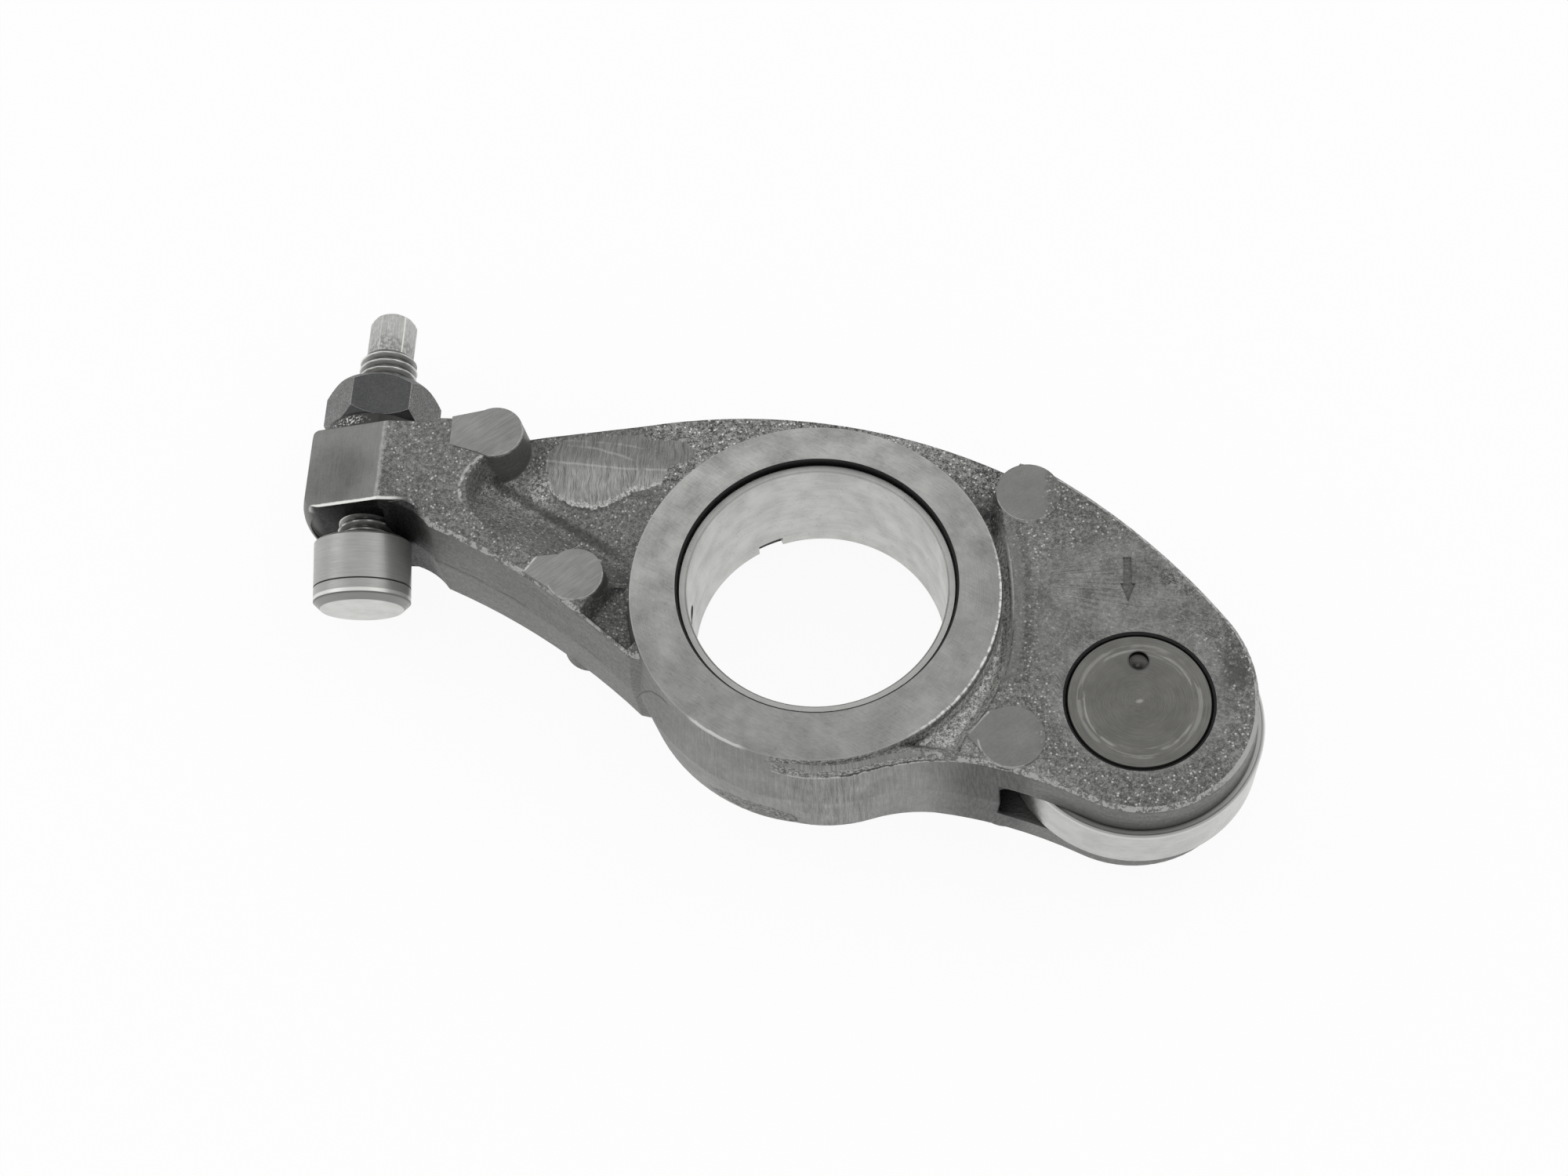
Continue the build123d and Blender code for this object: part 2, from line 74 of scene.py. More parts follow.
# %% Camera
camera_data = bpy.data.cameras.new("camera")
camera_data.sensor_width = 36.0
camera_data.lens = 59.86
camera_data.clip_start = 0.01
camera_data.clip_end = 20
camera = bpy.data.objects.new("camera", camera_data)
right = Vector((0.9983, 0.0421, -0.0408))
up = Vector((-0.0192, 0.8919, 0.4519))
back = right.cross(up).normalized()
up = back.cross(right).normalized()
right.normalize()
place = Matrix((right, up, back)).transposed().to_4x4()
place.translation = Vector((0.01792, -0.18878, 0.38453))
camera.matrix_world = place
bpy.context.collection.objects.link(camera)
bpy.context.scene.camera = camera
bpy.context.scene.view_settings.view_transform = "Standard"
print("camera", camera_data.lens, "mm")

# %% [markdown]
# ## Writing materials as sums
#
# Procedural finishes need hundreds of math nodes. Placing and wiring each of them by name would
# hide the idea, so a few small helpers let a mask be written as a sum on one line. Colours are
# written as grey levels, which are easier to judge than linear values.

# %% Grey levels
def srgb(level, tint=(1.0, 1.0, 0.97)):
    """A colour from an 8-bit grey level, slightly warm unless told otherwise."""
    linear = ((level / 255 + 0.055) / 1.055) ** 2.4
    return (linear * tint[0], linear * tint[1], linear * tint[2], 1.0)


print("mid grey is", srgb(128)[0])

# %% [markdown]
# ### A value
#
# Python lets a class say what plus, times and the other signs mean. Here each sign makes the math
# node of its own name and hands back its output, so a long sum builds a whole chain of nodes.

# %% Value
class Value:
    """One output socket that can be added, multiplied and compared."""

    def __init__(self, net, socket):
        self.net = net
        self.socket = socket

    def __add__(self, other):
        return self.net.math("ADD", self, other)

    __radd__ = __add__

    def __sub__(self, other):
        return self.net.math("SUBTRACT", self, other)

    def __rsub__(self, other):
        return self.net.math("SUBTRACT", other, self)

    def __mul__(self, other):
        return self.net.math("MULTIPLY", self, other)

    __rmul__ = __mul__

    def __truediv__(self, other):
        return self.net.math("DIVIDE", self, other)

    def __or__(self, other):
        return self.net.math("MAXIMUM", self, other)

    def __and__(self, other):
        return self.net.math("MULTIPLY", self, other)

    def abs(self):
        return self.net.math("ABSOLUTE", self)

    def no(self):
        return self.net.math("SUBTRACT", 1.0, self)

    def over(self, mask, colour):
        """Lays another colour over this one, as far as the mask goes."""
        self.socket = self.net.mix(mask, self, colour).socket


print("a value adds, multiplies, and takes the larger with |")

# %% [markdown]
# ### A net of nodes
#
# The net makes the nodes. Each method sets the few inputs that the finishes need and leaves the
# rest as Blender has them.

# %% Net
class Net:
    """A node tree with short names for the nodes that the finishes use."""

    def __init__(self, tree):
        self.tree = tree

    def node(self, kind, inputs=None, **settings):
        made = self.tree.nodes.new(kind)
        for name, value in settings.items():
            setattr(made, name, value)
        for name, value in (inputs or {}).items():
            self.feed(made.inputs[name], value)
        return made

    def feed(self, socket, value):
        if isinstance(value, Value):
            self.tree.links.new(value.socket, socket)
        else:
            socket.default_value = value

    def math(self, operation, first, second=0.0):
        made = self.node("ShaderNodeMath", operation=operation)
        self.feed(made.inputs[0], first)
        self.feed(made.inputs[1], second)
        return Value(self, made.outputs[0])

    def mix(self, factor, first, second):
        """A colour that goes from first to second as the factor rises."""
        made = self.node("ShaderNodeMix", {"Factor": factor}, data_type="RGBA")
        self.feed(made.inputs[6], first)
        self.feed(made.inputs[7], second)
        return Value(self, made.outputs[2])

    def blend(self, factor, first, second):
        """A number that goes from first to second as the factor rises."""
        made = self.node("ShaderNodeMix", {"Factor": factor}, data_type="FLOAT")
        self.feed(made.inputs[2], first)
        self.feed(made.inputs[3], second)
        return Value(self, made.outputs[0])

    def join(self, x, y, z):
        made = self.node("ShaderNodeCombineXYZ", {"X": x, "Y": y, "Z": z})
        return Value(self, made.outputs[0])

    def parts(self, socket):
        """The three numbers of a vector output."""
        made = self.node("ShaderNodeSeparateXYZ")
        self.tree.links.new(socket, made.inputs[0])
        return [Value(self, part) for part in made.outputs]

    def noise(self, vector, scale, detail, rough):
        inputs = {"Vector": vector, "Scale": scale, "Detail": detail, "Roughness": rough}
        return Value(self, self.node("ShaderNodeTexNoise", inputs).outputs[0])

    def cells(self, vector, scale):
        """Distance to the nearest cell centre."""
        made = self.node("ShaderNodeTexVoronoi", {"Vector": vector, "Scale": scale})
        return Value(self, made.outputs["Distance"])

    def curve(self, value, points):
        """A broken line through the points, for a value from 0 to 1."""
        made = self.node("ShaderNodeFloatCurve", {"Value": value})
        knots = made.mapping.curves[0].points
        made.mapping.use_clip = False
        while len(knots) < len(points):
            knots.new(0.5, 0.5)
        for knot, (at, level) in zip(knots, points):
            knot.location = (at, level)
            knot.handle_type = "VECTOR"
        made.mapping.update()
        return Value(self, made.outputs[0])

    def group(self, tree, **inputs):
        """A shared effect, with its inputs set by name."""
        made = self.node("ShaderNodeGroup", inputs, node_tree=tree)
        return [Value(self, socket) for socket in made.outputs]


print("a net makes", ", ".join(name for name in vars(Net) if name[0] != "_"))

# %% [markdown]
# ### Masks
#
# A mask is 1 where a finish shows and 0 elsewhere. These functions make one from a place on the
# piece, or from a distance and an angle round a centre. Nearly every mask comes from `step`, a soft
# ramp, as real finishes have no hard borders.

# %% Masks
def step(value, low, high):
    """0 below low and 1 above high, smooth between; a falling step has low above high."""
    made = value.net.node("ShaderNodeMapRange", {"Value": value}, interpolation_type="SMOOTHSTEP")
    made.inputs["From Min"].default_value = min(low, high)
    made.inputs["From Max"].default_value = max(low, high)
    made.inputs["To Min"].default_value = 0.0 if low < high else 1.0
    made.inputs["To Max"].default_value = 1.0 if low < high else 0.0
    return Value(value.net, made.outputs["Result"])


def band(value, centre, half, soft):
    """1 within half of centre, and 0 beyond half plus soft."""
    return step((value - centre).abs(), half + soft, half)


def length(x, y):
    return x.net.math("SQRT", x * x + y * y)


def angle(x, y):
    return x.net.math("ARCTAN2", y, x)


def blob(x, y, at_x, at_y, half_x, half_y):
    """1 at a point, falling smoothly to 0 on an ellipse round it."""
    return step(length((x - at_x) / half_x, (y - at_y) / half_y), 1.0, 0.25)


def turned(x, y, by_degrees):
    """The coordinates along and across a direction in the xy plane."""
    c = cos(radians(by_degrees))
    s = sin(radians(by_degrees))
    return x * c + y * s, y * c - x * s


print("masks:", step.__name__, band.__name__, blob.__name__)

# %% [markdown]
# ## A shared effect
#
# Grain, grinding lines and edge wear come back on several pieces. Each is a node group with named
# sockets, made once and placed in every material with its own values.

# %% Shared group helper
def effect(name, inputs, outputs):
    """An empty node group with the given sockets, and its input values."""
    tree = bpy.data.node_groups.new(name, "ShaderNodeTree")
    kinds = {"vector": "NodeSocketVector", "colour": "NodeSocketColor", "number": "NodeSocketFloat"}
    for socket_name, kind, default in inputs:
        socket = tree.interface.new_socket(socket_name, in_out="INPUT", socket_type=kinds[kind])
        if default is not None:
            socket.default_value = default
    for socket_name, kind in outputs:
        tree.interface.new_socket(socket_name, in_out="OUTPUT", socket_type=kinds[kind])
    net = Net(tree)
    source = net.node("NodeGroupInput")
    sink = net.node("NodeGroupOutput")
    return tree, net, [Value(net, socket) for socket in source.outputs[:len(inputs)]], sink


print("groups so far", len(bpy.data.node_groups))

# %% [markdown]
# ## A metal material
#
# Every piece of the arm is bare metal, so each material starts in the same way, from a shader and
# the place on the piece in millimetres, and ends in the same way, with a bump and the slots of the
# piece.

# %% Material helpers
def finish_material(name, metallic, roughness):
    """A new metal material: its net, the place in millimetres, and the parts of the place."""
    material = bpy.data.materials.new(name)
    material.use_nodes = True
    net = Net(material.node_tree)
    net.shader = material.node_tree.nodes["Principled BSDF"]
    net.shader.inputs["Metallic"].default_value = metallic
    net.shader.inputs["Roughness"].default_value = roughness
    net.coordinates = net.node("ShaderNodeTexCoord")
    scaled = net.node("ShaderNodeVectorMath", operation="SCALE")
    net.tree.links.new(net.coordinates.outputs["Object"], scaled.inputs[0])
    scaled.inputs["Scale"].default_value = 1 / MM
    place = Value(net, scaled.outputs[0])
    return material, net, place, net.parts(scaled.outputs[0])


def dress(name, material, net, colour, rough, height, distance_mm):
    """Feeds a material and puts it in every slot of a CAD node or piece."""
    shader = net.shader
    net.feed(shader.inputs["Base Color"], colour)
    net.feed(shader.inputs["Roughness"], rough)
    bump = net.node("ShaderNodeBump")
    bump.inputs["Strength"].default_value = 1.0
    bump.inputs["Distance"].default_value = distance_mm * MM
    net.feed(bump.inputs["Height"], height)
    net.tree.links.new(bump.outputs["Normal"], shader.inputs["Normal"])
    piece = nodes[name] if isinstance(name, str) else name
    if not piece.material_slots:
        piece.data.materials.append(material)
    for slot in piece.material_slots:
        slot.material = material
    print(piece.name, "wears", material.name, "of", len(net.tree.nodes), "nodes")
    return bump


print("a metal can be made by", finish_material.__name__, "and put on by", dress.__name__)

# %% [markdown]
# ### Blasted skin
#
# A forging is shot blasted, which leaves a dark skin full of small dents. Two noises of different
# size make the grain, and the cells of a Voronoi texture make painted glints, bright spots that
# stand in for the shine of single dents, since these are round and far apart.

# %% Blasted skin
blasted, net, (vector, dark, light, shine), sink = effect(
    "blasted_skin_and_glints",
    [
        ("Vector", "vector", None),
        ("Dark", "colour", srgb(80)),
        ("Light", "colour", srgb(132)),
        ("Glint", "colour", srgb(186)),
    ],
    [("Color", "colour"), ("Height", "number"), ("Grain", "number"), ("Glint", "number")],
)
coarse = net.noise(vector, 1.7, 3.0, 0.65)
fine = net.noise(vector, 4.2, 2.0, 0.6)
haze = net.noise(vector, 0.10, 2.0, 0.5)
grain = step(coarse * 0.55 + fine * 0.45, 0.38, 0.64)
# Painted glints: bright spots in the colour stand in for the shine of single dents.
painted_glint = (
    step(net.cells(vector, 1.35), 0.34, 0.14)
    & step(net.noise(vector, 1.1, 1.0, 0.5), 0.40, 0.56)
)
body = net.mix(grain * 0.8 + (haze - 0.5) * 0.7, dark, light)
net.feed(sink.inputs["Color"], net.mix(painted_glint * 0.8, body, shine))
net.feed(sink.inputs["Height"], coarse * 0.6 + fine * 0.3 + painted_glint * 0.2)
net.feed(sink.inputs["Grain"], grain)
net.feed(sink.inputs["Glint"], painted_glint)
print("blasted skin", len(blasted.nodes), "nodes")

# %% [markdown]
# ### Grinding lines
#
# A grinding wheel leaves long thin strokes. A noise that is squeezed across the strokes and
# stretched along them gives that. The same group draws turned rings when it is fed an angle and a
# radius.

# %% Grinding lines
ground, net, (along, across, depth, pitch), sink = effect(
    "grinding_lines",
    [(name, "number", 0.0) for name in ("Along", "Across", "Depth")] + [("Pitch", "number", 3.0)],
    [("Line", "number"), ("Fine", "number")],
)
strokes = net.noise(net.join(along * 0.10, across * pitch, depth), 1.0, 3.0, 0.6)
hairs = net.noise(net.join(along * 0.35, across * pitch * 3.1, depth), 1.0, 2.0, 0.55)
net.feed(sink.inputs["Line"], step(strokes, 0.30, 0.70))
net.feed(sink.inputs["Fine"], step(hairs, 0.30, 0.70))
print("grinding lines", len(ground.nodes), "nodes")

# %% [markdown]
# ### Mottling
#
# Handled steel has soft clouds and a few spots. Slow noise is enough for both, and one size input
# fits it to each piece.

# %% Mottling
mottled, net, (vector, size), sink = effect(
    "mottling",
    [("Vector", "vector", None), ("Size", "number", 1.0)],
    [("Cloud", "number"), ("Spot", "number")],
)
scaled = net.node("ShaderNodeVectorMath", operation="SCALE")
net.feed(scaled.inputs[0], vector)
net.feed(scaled.inputs["Scale"], size)
moved = Value(net, scaled.outputs[0])
net.feed(sink.inputs["Cloud"], step(net.noise(moved, 0.16, 4.0, 0.55), 0.30, 0.70))
net.feed(sink.inputs["Spot"], step(net.noise(moved, 1.5, 2.0, 0.5), 0.64, 0.74))

print("mottling", len(mottled.nodes), "nodes")

# %% [markdown]
# ### Edge wear and painted highlight
#
# The sharp edges of the bush, the nut and the hexagon are drawn bright, partly as wear from
# handling and partly as a painted highlight where a small rounding would catch the light. An edge
# is found where the rounded normal of a Bevel node turns away from the true one. A drawn line
# would slide off the edge when the shape changes, and this doesn't.

# %% Edge wear and painted highlight
worn_and_lit_edges, net, (radius,), sink = effect(
    "edge_wear_and_highlight", [("Radius", "number", 0.0002)], [("Edge", "number")]
)
rounded = net.node("ShaderNodeBevel", samples=6)
net.feed(rounded.inputs["Radius"], radius)
true_normal = net.node("ShaderNodeNewGeometry")
agreement = net.node("ShaderNodeVectorMath", operation="DOT_PRODUCT")
tree = net.tree
tree.links.new(rounded.outputs["Normal"], agreement.inputs[0])
tree.links.new(true_normal.outputs["Normal"], agreement.inputs[1])
net.feed(sink.inputs["Edge"], step(Value(net, agreement.outputs["Value"]), 0.97, 0.86))
print("edge wear", len(worn_and_lit_edges.nodes), "nodes")

# %% [markdown]
# ## The forging: places
#
# One forging carries a blasted skin and a dozen machined or hand-ground faces. It could be split
# into many slots with one material each, but the borders are ragged on a real forging, so one
# material finds each face from its place and its normal, and noise frays the borders.

# %% Forging: places
GROOVE_CENTRE = (-23.63, -2.5)
GROOVE_R = 55.05


def told(title):
    """Prints how far the forging's material has grown."""
    print("forging,", title + ":", len(forging.node_tree.nodes), "nodes so far")


forging, net, place, (x, y, z) = finish_material("forged_steel", 0.8, 0.5)
_, ny, nz = net.parts(net.coordinates.outputs["Normal"])
az = z.abs()
anz = nz.abs()
boss_r = length(x - BOSS_CENTRE[0], y - BOSS_CENTRE[1])
pin_r = length(x - PIN[0], y - PIN[1])
side_angle = angle(x - BOSS_CENTRE[0], y - BOSS_CENTRE[1])
wobble = net.noise(place, 0.9, 3.0, 0.6) - 0.5
slow = net.noise(place, 0.18, 3.0, 0.6) - 0.5
cloud, spot = net.group(mottled, Vector=place)
flat = step(anz, 0.9, 0.97)
is_cheek = step(az, CHEEK - 0.3, CHEEK - 0.1) & flat
front_line = y + 0.7 * x + 33.5
is_front = (
    step(front_line, 1.6, 0.6) | step(y, -14.0, -15.0) | step(pin_r, 17.0, 17.6)
    | step(ny, 0.2, 0.3)
)
is_wall = step(anz, 0.24, 0.14) & is_front & step(x, -72.0, -71.0)
groove_out = length(x - GROOVE_CENTRE[0], y - GROOVE_CENTRE[1]) - GROOVE_R
in_groove = (
    step(x, 9.0, 13.0) & step(z, 5.6, 6.0) & step(groove_out, 0.6, 0.3)
    & band(y, -8.5, 17.5, 3.0)
)
is_wall = is_wall & in_groove.no()
in_trough = step(z, 11.6, 11.2) & step(z, 2.5, 3.5) & step(x, -28.0, -36.0) & is_wall.no()
told("places")

# %% [markdown]
# ### Forging: blasted skin
#
# The skin covers everything first, harsher on part of the web and in the groove round the ring.
# In the hollow under the upper pad the floor is painted lighter with painted glints, a painted
# shade darkens the corner under the pad and a painted shade line follows the valley, and the
# groove round the ring is painted lighter.

# %% Forging: blasted skin
colour, skin_height, grain, painted_glint = net.group(
    blasted, Vector=place, Dark=srgb(80), Light=srgb(146), Glint=srgb(208)
)
harsh, _, harsh_grain, _ = net.group(
    blasted, Vector=place, Dark=srgb(52), Light=srgb(190), Glint=srgb(246)
)
web_harsh = step(x + wobble * 6.0, -28.0, -25.0) & step(y, 19.0, 21.0) & step(z, 7.2, 6.8)
web_harsh = (
    web_harsh
    | (step(x + wobble * 3.0, -30.5, -29.0) & step(y, 21.0, 22.0) & step(z, 7.2, 6.8))
)
# Painted glints: three soft clusters of bright specks on the floor of the hollow.
hollow_glints = blob(x, y, -56.4, 19.2, 3.2, 3.8) | blob(x, y, -52.3, 18.8, 2.8, 3.8)
hollow_glints = hollow_glints | blob(x, y, -47.2, 20.2, 2.8, 4.6)
colour = net.mix(web_harsh * 0.9, colour, harsh)
# Painted light: the floor of the hollow under the upper pad is painted lighter than the skin.
hollow = blob(x, y, -53.0, 19.0, 11.0, 9.0) & in_trough
colour = net.mix(hollow * 0.55, colour, net.mix(grain, srgb(104), srgb(200)))
# Painted shade: the corner under the upper pad is darkened, most of all near the pad.
shelter_shade = step(length(x + 55.5, y - 24.5), 11.5, 5.0) & in_trough & step(z, 4.3, 8.0)
colour = net.mix(shelter_shade * 0.35, colour, srgb(54))
painted_sparkle = net.mix(painted_glint | (harsh_grain * 0.6), srgb(84), srgb(255))
colour = net.mix(hollow_glints & in_trough & step(z, 8.5, 6.0), colour, painted_sparkle)
# Painted shade: a dark line follows the valley of the trough.
valley = (y + x * 0.61 + 12.3) / 1.17
valley_shade_line = (
    band(valley + wobble * 0.6, 0.5, 0.35, 0.9) & in_trough & step(x, -30.0, -36.0)
    & step(z, 7.5, 6.5)
)
colour = net.mix(valley_shade_line * 0.7, colour, srgb(58))
# Painted light: the groove round the ring is painted lighter, most of all at its lower end.
groove_painted_light = in_groove & step(y, 18.0, -20.0) & step(z, 11.4, 10.8)
colour = net.mix(
    in_groove & step(z, 11.6, 11.0), colour, net.mix(harsh_grain, srgb(112), srgb(220))
)
colour = net.mix(groove_painted_light * 0.5, colour, net.mix(harsh_grain, srgb(112), srgb(238)))
told("blasted skin")

# %% [markdown]
# ### Forging: side walls
#
# The flash of the forging was trimmed from the side walls. Vertical shear marks show on the belly
# of the boss, long grinding strokes on the arm, and a thin parting line where the dies met. Round
# the slot of the roller the wall gets a painted shade.

# %% Forging: side walls
trim_line, trim_fine = net.group(ground, Along=z, Across=side_angle * 31.0, Pitch=1.9)
arm_line, arm_fine = net.group(ground, Along=x, Across=z + slow, Depth=1.0, Pitch=1.5)
trimmed = step(x, -27.0, -20.0) & step(x, 30.0, 22.0) & step(y, -13.0, -15.0)
trim_depth = net.blend(blob(x, z, 3.5, 0.0, 11.0, 30.0), 0.35, 1.0)
wall = net.mix(arm_line * 0.35 + arm_fine * 0.25 + grain * 0.4, srgb(100), srgb(134))
trim = net.mix(
    (trim_line * 0.55 + trim_fine * 0.45 - 0.5) * trim_depth + 0.5 + slow * 0.5,
    srgb(108), srgb(170)
)
wall = net.mix(trimmed, wall, trim)
wall = net.mix(step(cloud, 0.2, 0.9) * 0.3, wall, srgb(106))
wall = net.mix(
    step(x, 16.0, 26.0) & step(y, -24.0, -26.0) & step(x, 36.0, 32.0),
    wall,
    net.mix(trim_fine, srgb(80), srgb(100)),
)
rough_foot = blob(x, z, -9.5, -9.6, 11.0, 4.6)
wall = net.mix(
    step(rough_foot + wobble * 0.7, 0.25, 0.5), wall, net.mix(harsh_grain, srgb(62), srgb(150))
)
# Painted shade: the wall round the slot of the roller darkens towards the slot.
slot_wall_shade = (
    step(z, 9.5, 5.8) & step(pin_r, 17.0, 18.0) & step(x, 34.0, 38.0)
    & step(z, 0.0, 1.0)
)
wall = net.mix(slot_wall_shade * 0.6, wall, srgb(64))
parting = (
    band(z - slow * 1.4 - 0.8, 0.0, 0.05, 0.2) & step(slow + wobble * 0.3, -0.08, 0.02)
    & step(x, -30.0, -36.0)
)
seam = (
    band(z + 0.33 * (x + 22.8) * (x + 22.8), 11.0, 0.10, 0.28) & step(x, -22.0, -23.5)
    & step(x, -30.0, -29.0)
)
wall = net.mix((parting * 0.7) | (seam * 0.75), wall, srgb(58))
colour = net.mix(is_wall, colour, wall)
told("side walls")

# %% [markdown]
# ### Forging: ledge of the boss
#
# Below the ring a step was left between the turned boss and the trimmed wall. Its edge is a noisy
# line in height, rough above, with painted shade in the gap and a painted highlight on the rim.

# %% Forging: ledge at the front of the boss
ledge_line = (8.8 + 0.04 * (x - 2.0)) | (9.3 + 0.21 * (x - 15.0))
above = z - ledge_line - wobble * 1.3 - slow * 0.8
on_ledge = step(x + wobble * 3.0, -7.5, -4.5) & step(x, 34.0, 30.0) & step(y, -24.0, -26.0)
ledge_rough = on_ledge & step(above, 0.15, 0.4) & flat.no()
colour = net.mix(
    ledge_rough * 0.9, colour, net.mix(grain * 0.5 + harsh_grain * 0.5, srgb(66), srgb(178))
)
# Painted shade: a dark line in the gap under the ledge.
ledge_gap_shade = (
    on_ledge & band(above, 0.35, 0.16, 0.2) & step(x, 2.0, 6.0) & step(x, 21.0, 18.0)
    & flat.no()
)
colour = net.mix(ledge_gap_shade * 0.85, colour, srgb(30))
# Painted highlight: a broken bright line on the rim of the ledge.
ledge_rim_highlight = on_ledge & band(above, -0.05, 0.10, 0.2) & step(wobble, -0.16, 0.04) & flat.no()
colour = net.mix(ledge_rim_highlight * 0.6, colour, srgb(196))
told("ledge at the front of the boss")

# %% [markdown]
# ### Forging: rolled edges
#
# The edge of the cheek catches the light, so the bevel of the CAD model, found from its slanting
# normal, gets a painted highlight in beads. At the nose the rim gets a broad painted highlight, and
# the crease beside it a painted shade.

# %% Forging: rolled edges
is_edge = band(anz, 0.71, 0.10, 0.06) & step(az, 11.1, 11.3)
is_edge = is_edge & (step(x, -36.0, -28.0) | step(front_line, 3.2, 2.2))
front_edge = trimmed & step(x, 20.0, 14.0)
bead = step(wobble + grain * 0.3, 0.02, 0.2)
# Painted highlight: the bevel of the cheek gets bright beads, and broad brightness at the nose.
edge_highlight_colour = net.mix(bead, srgb(112), srgb(176))
edge_highlight_colour = net.mix(blob(x, y, 70.0, -26.0, 18.0, 12.0), edge_highlight_colour, srgb(176))
colour = net.mix(is_edge & front_edge.no(), colour, edge_highlight_colour)
colour = net.mix(is_edge & front_edge, colour, wall)
# Painted highlight on the rim of the nose.
nose_rim_highlight = step(pin_r + slow, 17.5, 18.6) & is_cheek & step(y, -18.0, -24.0)
colour = net.mix(nose_rim_highlight * 0.4, colour, net.mix(grain, srgb(118), srgb(176)))
# Painted shade: a dark line in the crease at the nose.
crease_shade = step(pin_r, 18.1, 18.3) & step(pin_r, 18.75, 18.6) & is_cheek & step(y, -30.0, -32.0)
colour = net.mix(crease_shade * 0.4, colour, srgb(52))
told("rolled edges")

# %% [markdown]
# ### Forging: worn cheek
#
# Round the pin the cheek was brushed flat, so the grain fades and a fan of fine lines shows.
# Ellipses and a ring round the pin make the mask, and noise breaks it up.

# %% Forging: worn and brushed cheek
zone_r = length((x - 49.5) / 16.5, (y - 0.5) / 9.5)
halo = step(pin_r + slow * 6.0 + wobble * 2.5 - (y + 19.0) * 0.12, 15.2, 13.2)
worn = step(zone_r + slow * 1.3 + wobble * 0.6, 1.10, 0.80) | (halo * 0.9)
worn = worn | (blob(x, y, 37.5, -9.0, 6.0, 9.0) * 0.8)
worn = worn & is_cheek & step(z, 0.0, 1.0) & step(x, 33.0, 36.0)
fan = angle(x - 27.0, y - 1.5)
fan_line, fan_fine = net.group(ground, Along=boss_r, Across=fan * 19.0 + wobble * 0.3, Pitch=3.0)
fan_zone = blob(x, y, 44.5, 1.5, 10.0, 8.0)
worn_mix = (
    (fan_line - 0.5) * fan_zone * 0.55 + 0.44 + slow * 1.6 + wobble * 0.5 + (fan_fine - 0.5) * 0.35
    + (harsh_grain - 0.5) * 0.34
)
worn_colour = net.mix(worn_mix, srgb(94), srgb(156))
colour = net.mix(worn * net.blend(grain, 0.95, 0.72), colour, worn_colour)
scar = blob(x, y, 66.5, -13.0, 4.2, 9.5) & is_cheek & step(wobble + slow * 0.5, -0.08, 0.06)
colour = net.mix(scar * 0.75, colour, srgb(66))
graze_along, graze_across = turned(x - 57.4, y - 1.9, -36.0)
graze = blob(graze_along, graze_across, 0.0, 0.0, 6.5, 2.2) & is_cheek & step(z, 0.0, 1.0)
colour = net.mix(graze * 0.85, colour, net.mix(harsh_grain, srgb(66), srgb(150)))
told("worn and brushed cheek")

# %% [markdown]
# ### Forging: rims
#
# The rims of the groove and of the hollow are drawn bright in places. Each is an arc of a circle,
# so the distance from that circle is all that the mask needs.

# %% Forging: rims of the groove and the hollow
HOLLOW_CENTRE = (-51.9, 16.9)
HOLLOW_R = 7.3
groove_span = (
    step(y, -18.0, -14.0) & step(y, 14.0, 9.0) & step(x, 28.0, 29.0)
    & step(z, 8.0, 9.0)
)
groove_strip = band(groove_out, 0.9, 0.4, 1.0) & groove_span & is_cheek
colour = net.mix(groove_strip * 0.6, colour, net.mix(slow + 0.5, srgb(106), srgb(128)))
groove_rim = band(groove_out + wobble * 0.2, -0.1, 0.12, 0.2) & groove_span
colour = net.mix(groove_rim * 0.55, colour, srgb(180))
groove_shade = band(groove_out, 2.6, 0.3, 0.6) & groove_span & is_cheek
colour = net.mix(groove_shade * 0.35, colour, srgb(66))
hollow_out = length(x - HOLLOW_CENTRE[0], y - HOLLOW_CENTRE[1]) - HOLLOW_R
hollow_rim = (
    band(hollow_out + wobble * 0.7, 0.25, 0.15, 0.25) & is_cheek & step(x, -54.0, -55.5)
    & step(y, 13.5, 15.5)
)
colour = net.mix(hollow_rim * step(wobble, -0.10, 0.08) * 0.6, colour, srgb(205))
told("rims of the groove and the hollow")

# %% [markdown]
# ### Forging: pads
#
# Four pads were ground level to hold the arm in its jig. The strokes run one way over all of
# them, and the wheel left a thin burr on one side of each.

# %% Forging: pads
PAD_FACE = 12.25
PADS = (
    ((-54.5, 27.4), 4.65, -100, 20),
    ((-39.2, 1.15), 4.65, -150, 10),
    ((33.8, 17.6), 5.25, -160, -60),
    ((31.2, -25.7), 5.25, -170, -70),
)
PAD_LINES = (
    ((-47.4, 1.6), (-45.7, 4.2), 0.85),
    ((24.5, -25.2), (27.6, -21.5), 0.80),
)
is_pad = band(az, PAD_FACE, 0.03, 0.03) & flat
pad_along, pad_across = turned(x, y, 38.0)
pad_line, pad_fine = net.group(ground, Along=pad_along, Across=pad_across, Depth=z, Pitch=2.4)
right_end = step(x, 0.0, 10.0)
pad_base = net.mix(right_end, srgb(160), srgb(136))
pad_lines = net.blend(
    right_end, pad_line * 0.14 + pad_fine * 0.26, pad_fine * 0.14 + harsh_grain * 0.16
)
pad_colour = net.mix(pad_lines + cloud * 0.20 - slow * 0.5 + spot * 0.10, pad_base, srgb(94))
fade = (
    step(x + wobble * 3.0, 35.8, 37.6) & step(y, 6.0, 8.0)
    | (step(x + wobble * 3.0, 34.4, 36.4) & step(y, -8.0, -10.0)) * 0.6
)
colour = net.mix(is_pad & (fade * 0.7).no(), colour, pad_colour)
burr = step(wobble, -0.15, 0.02)
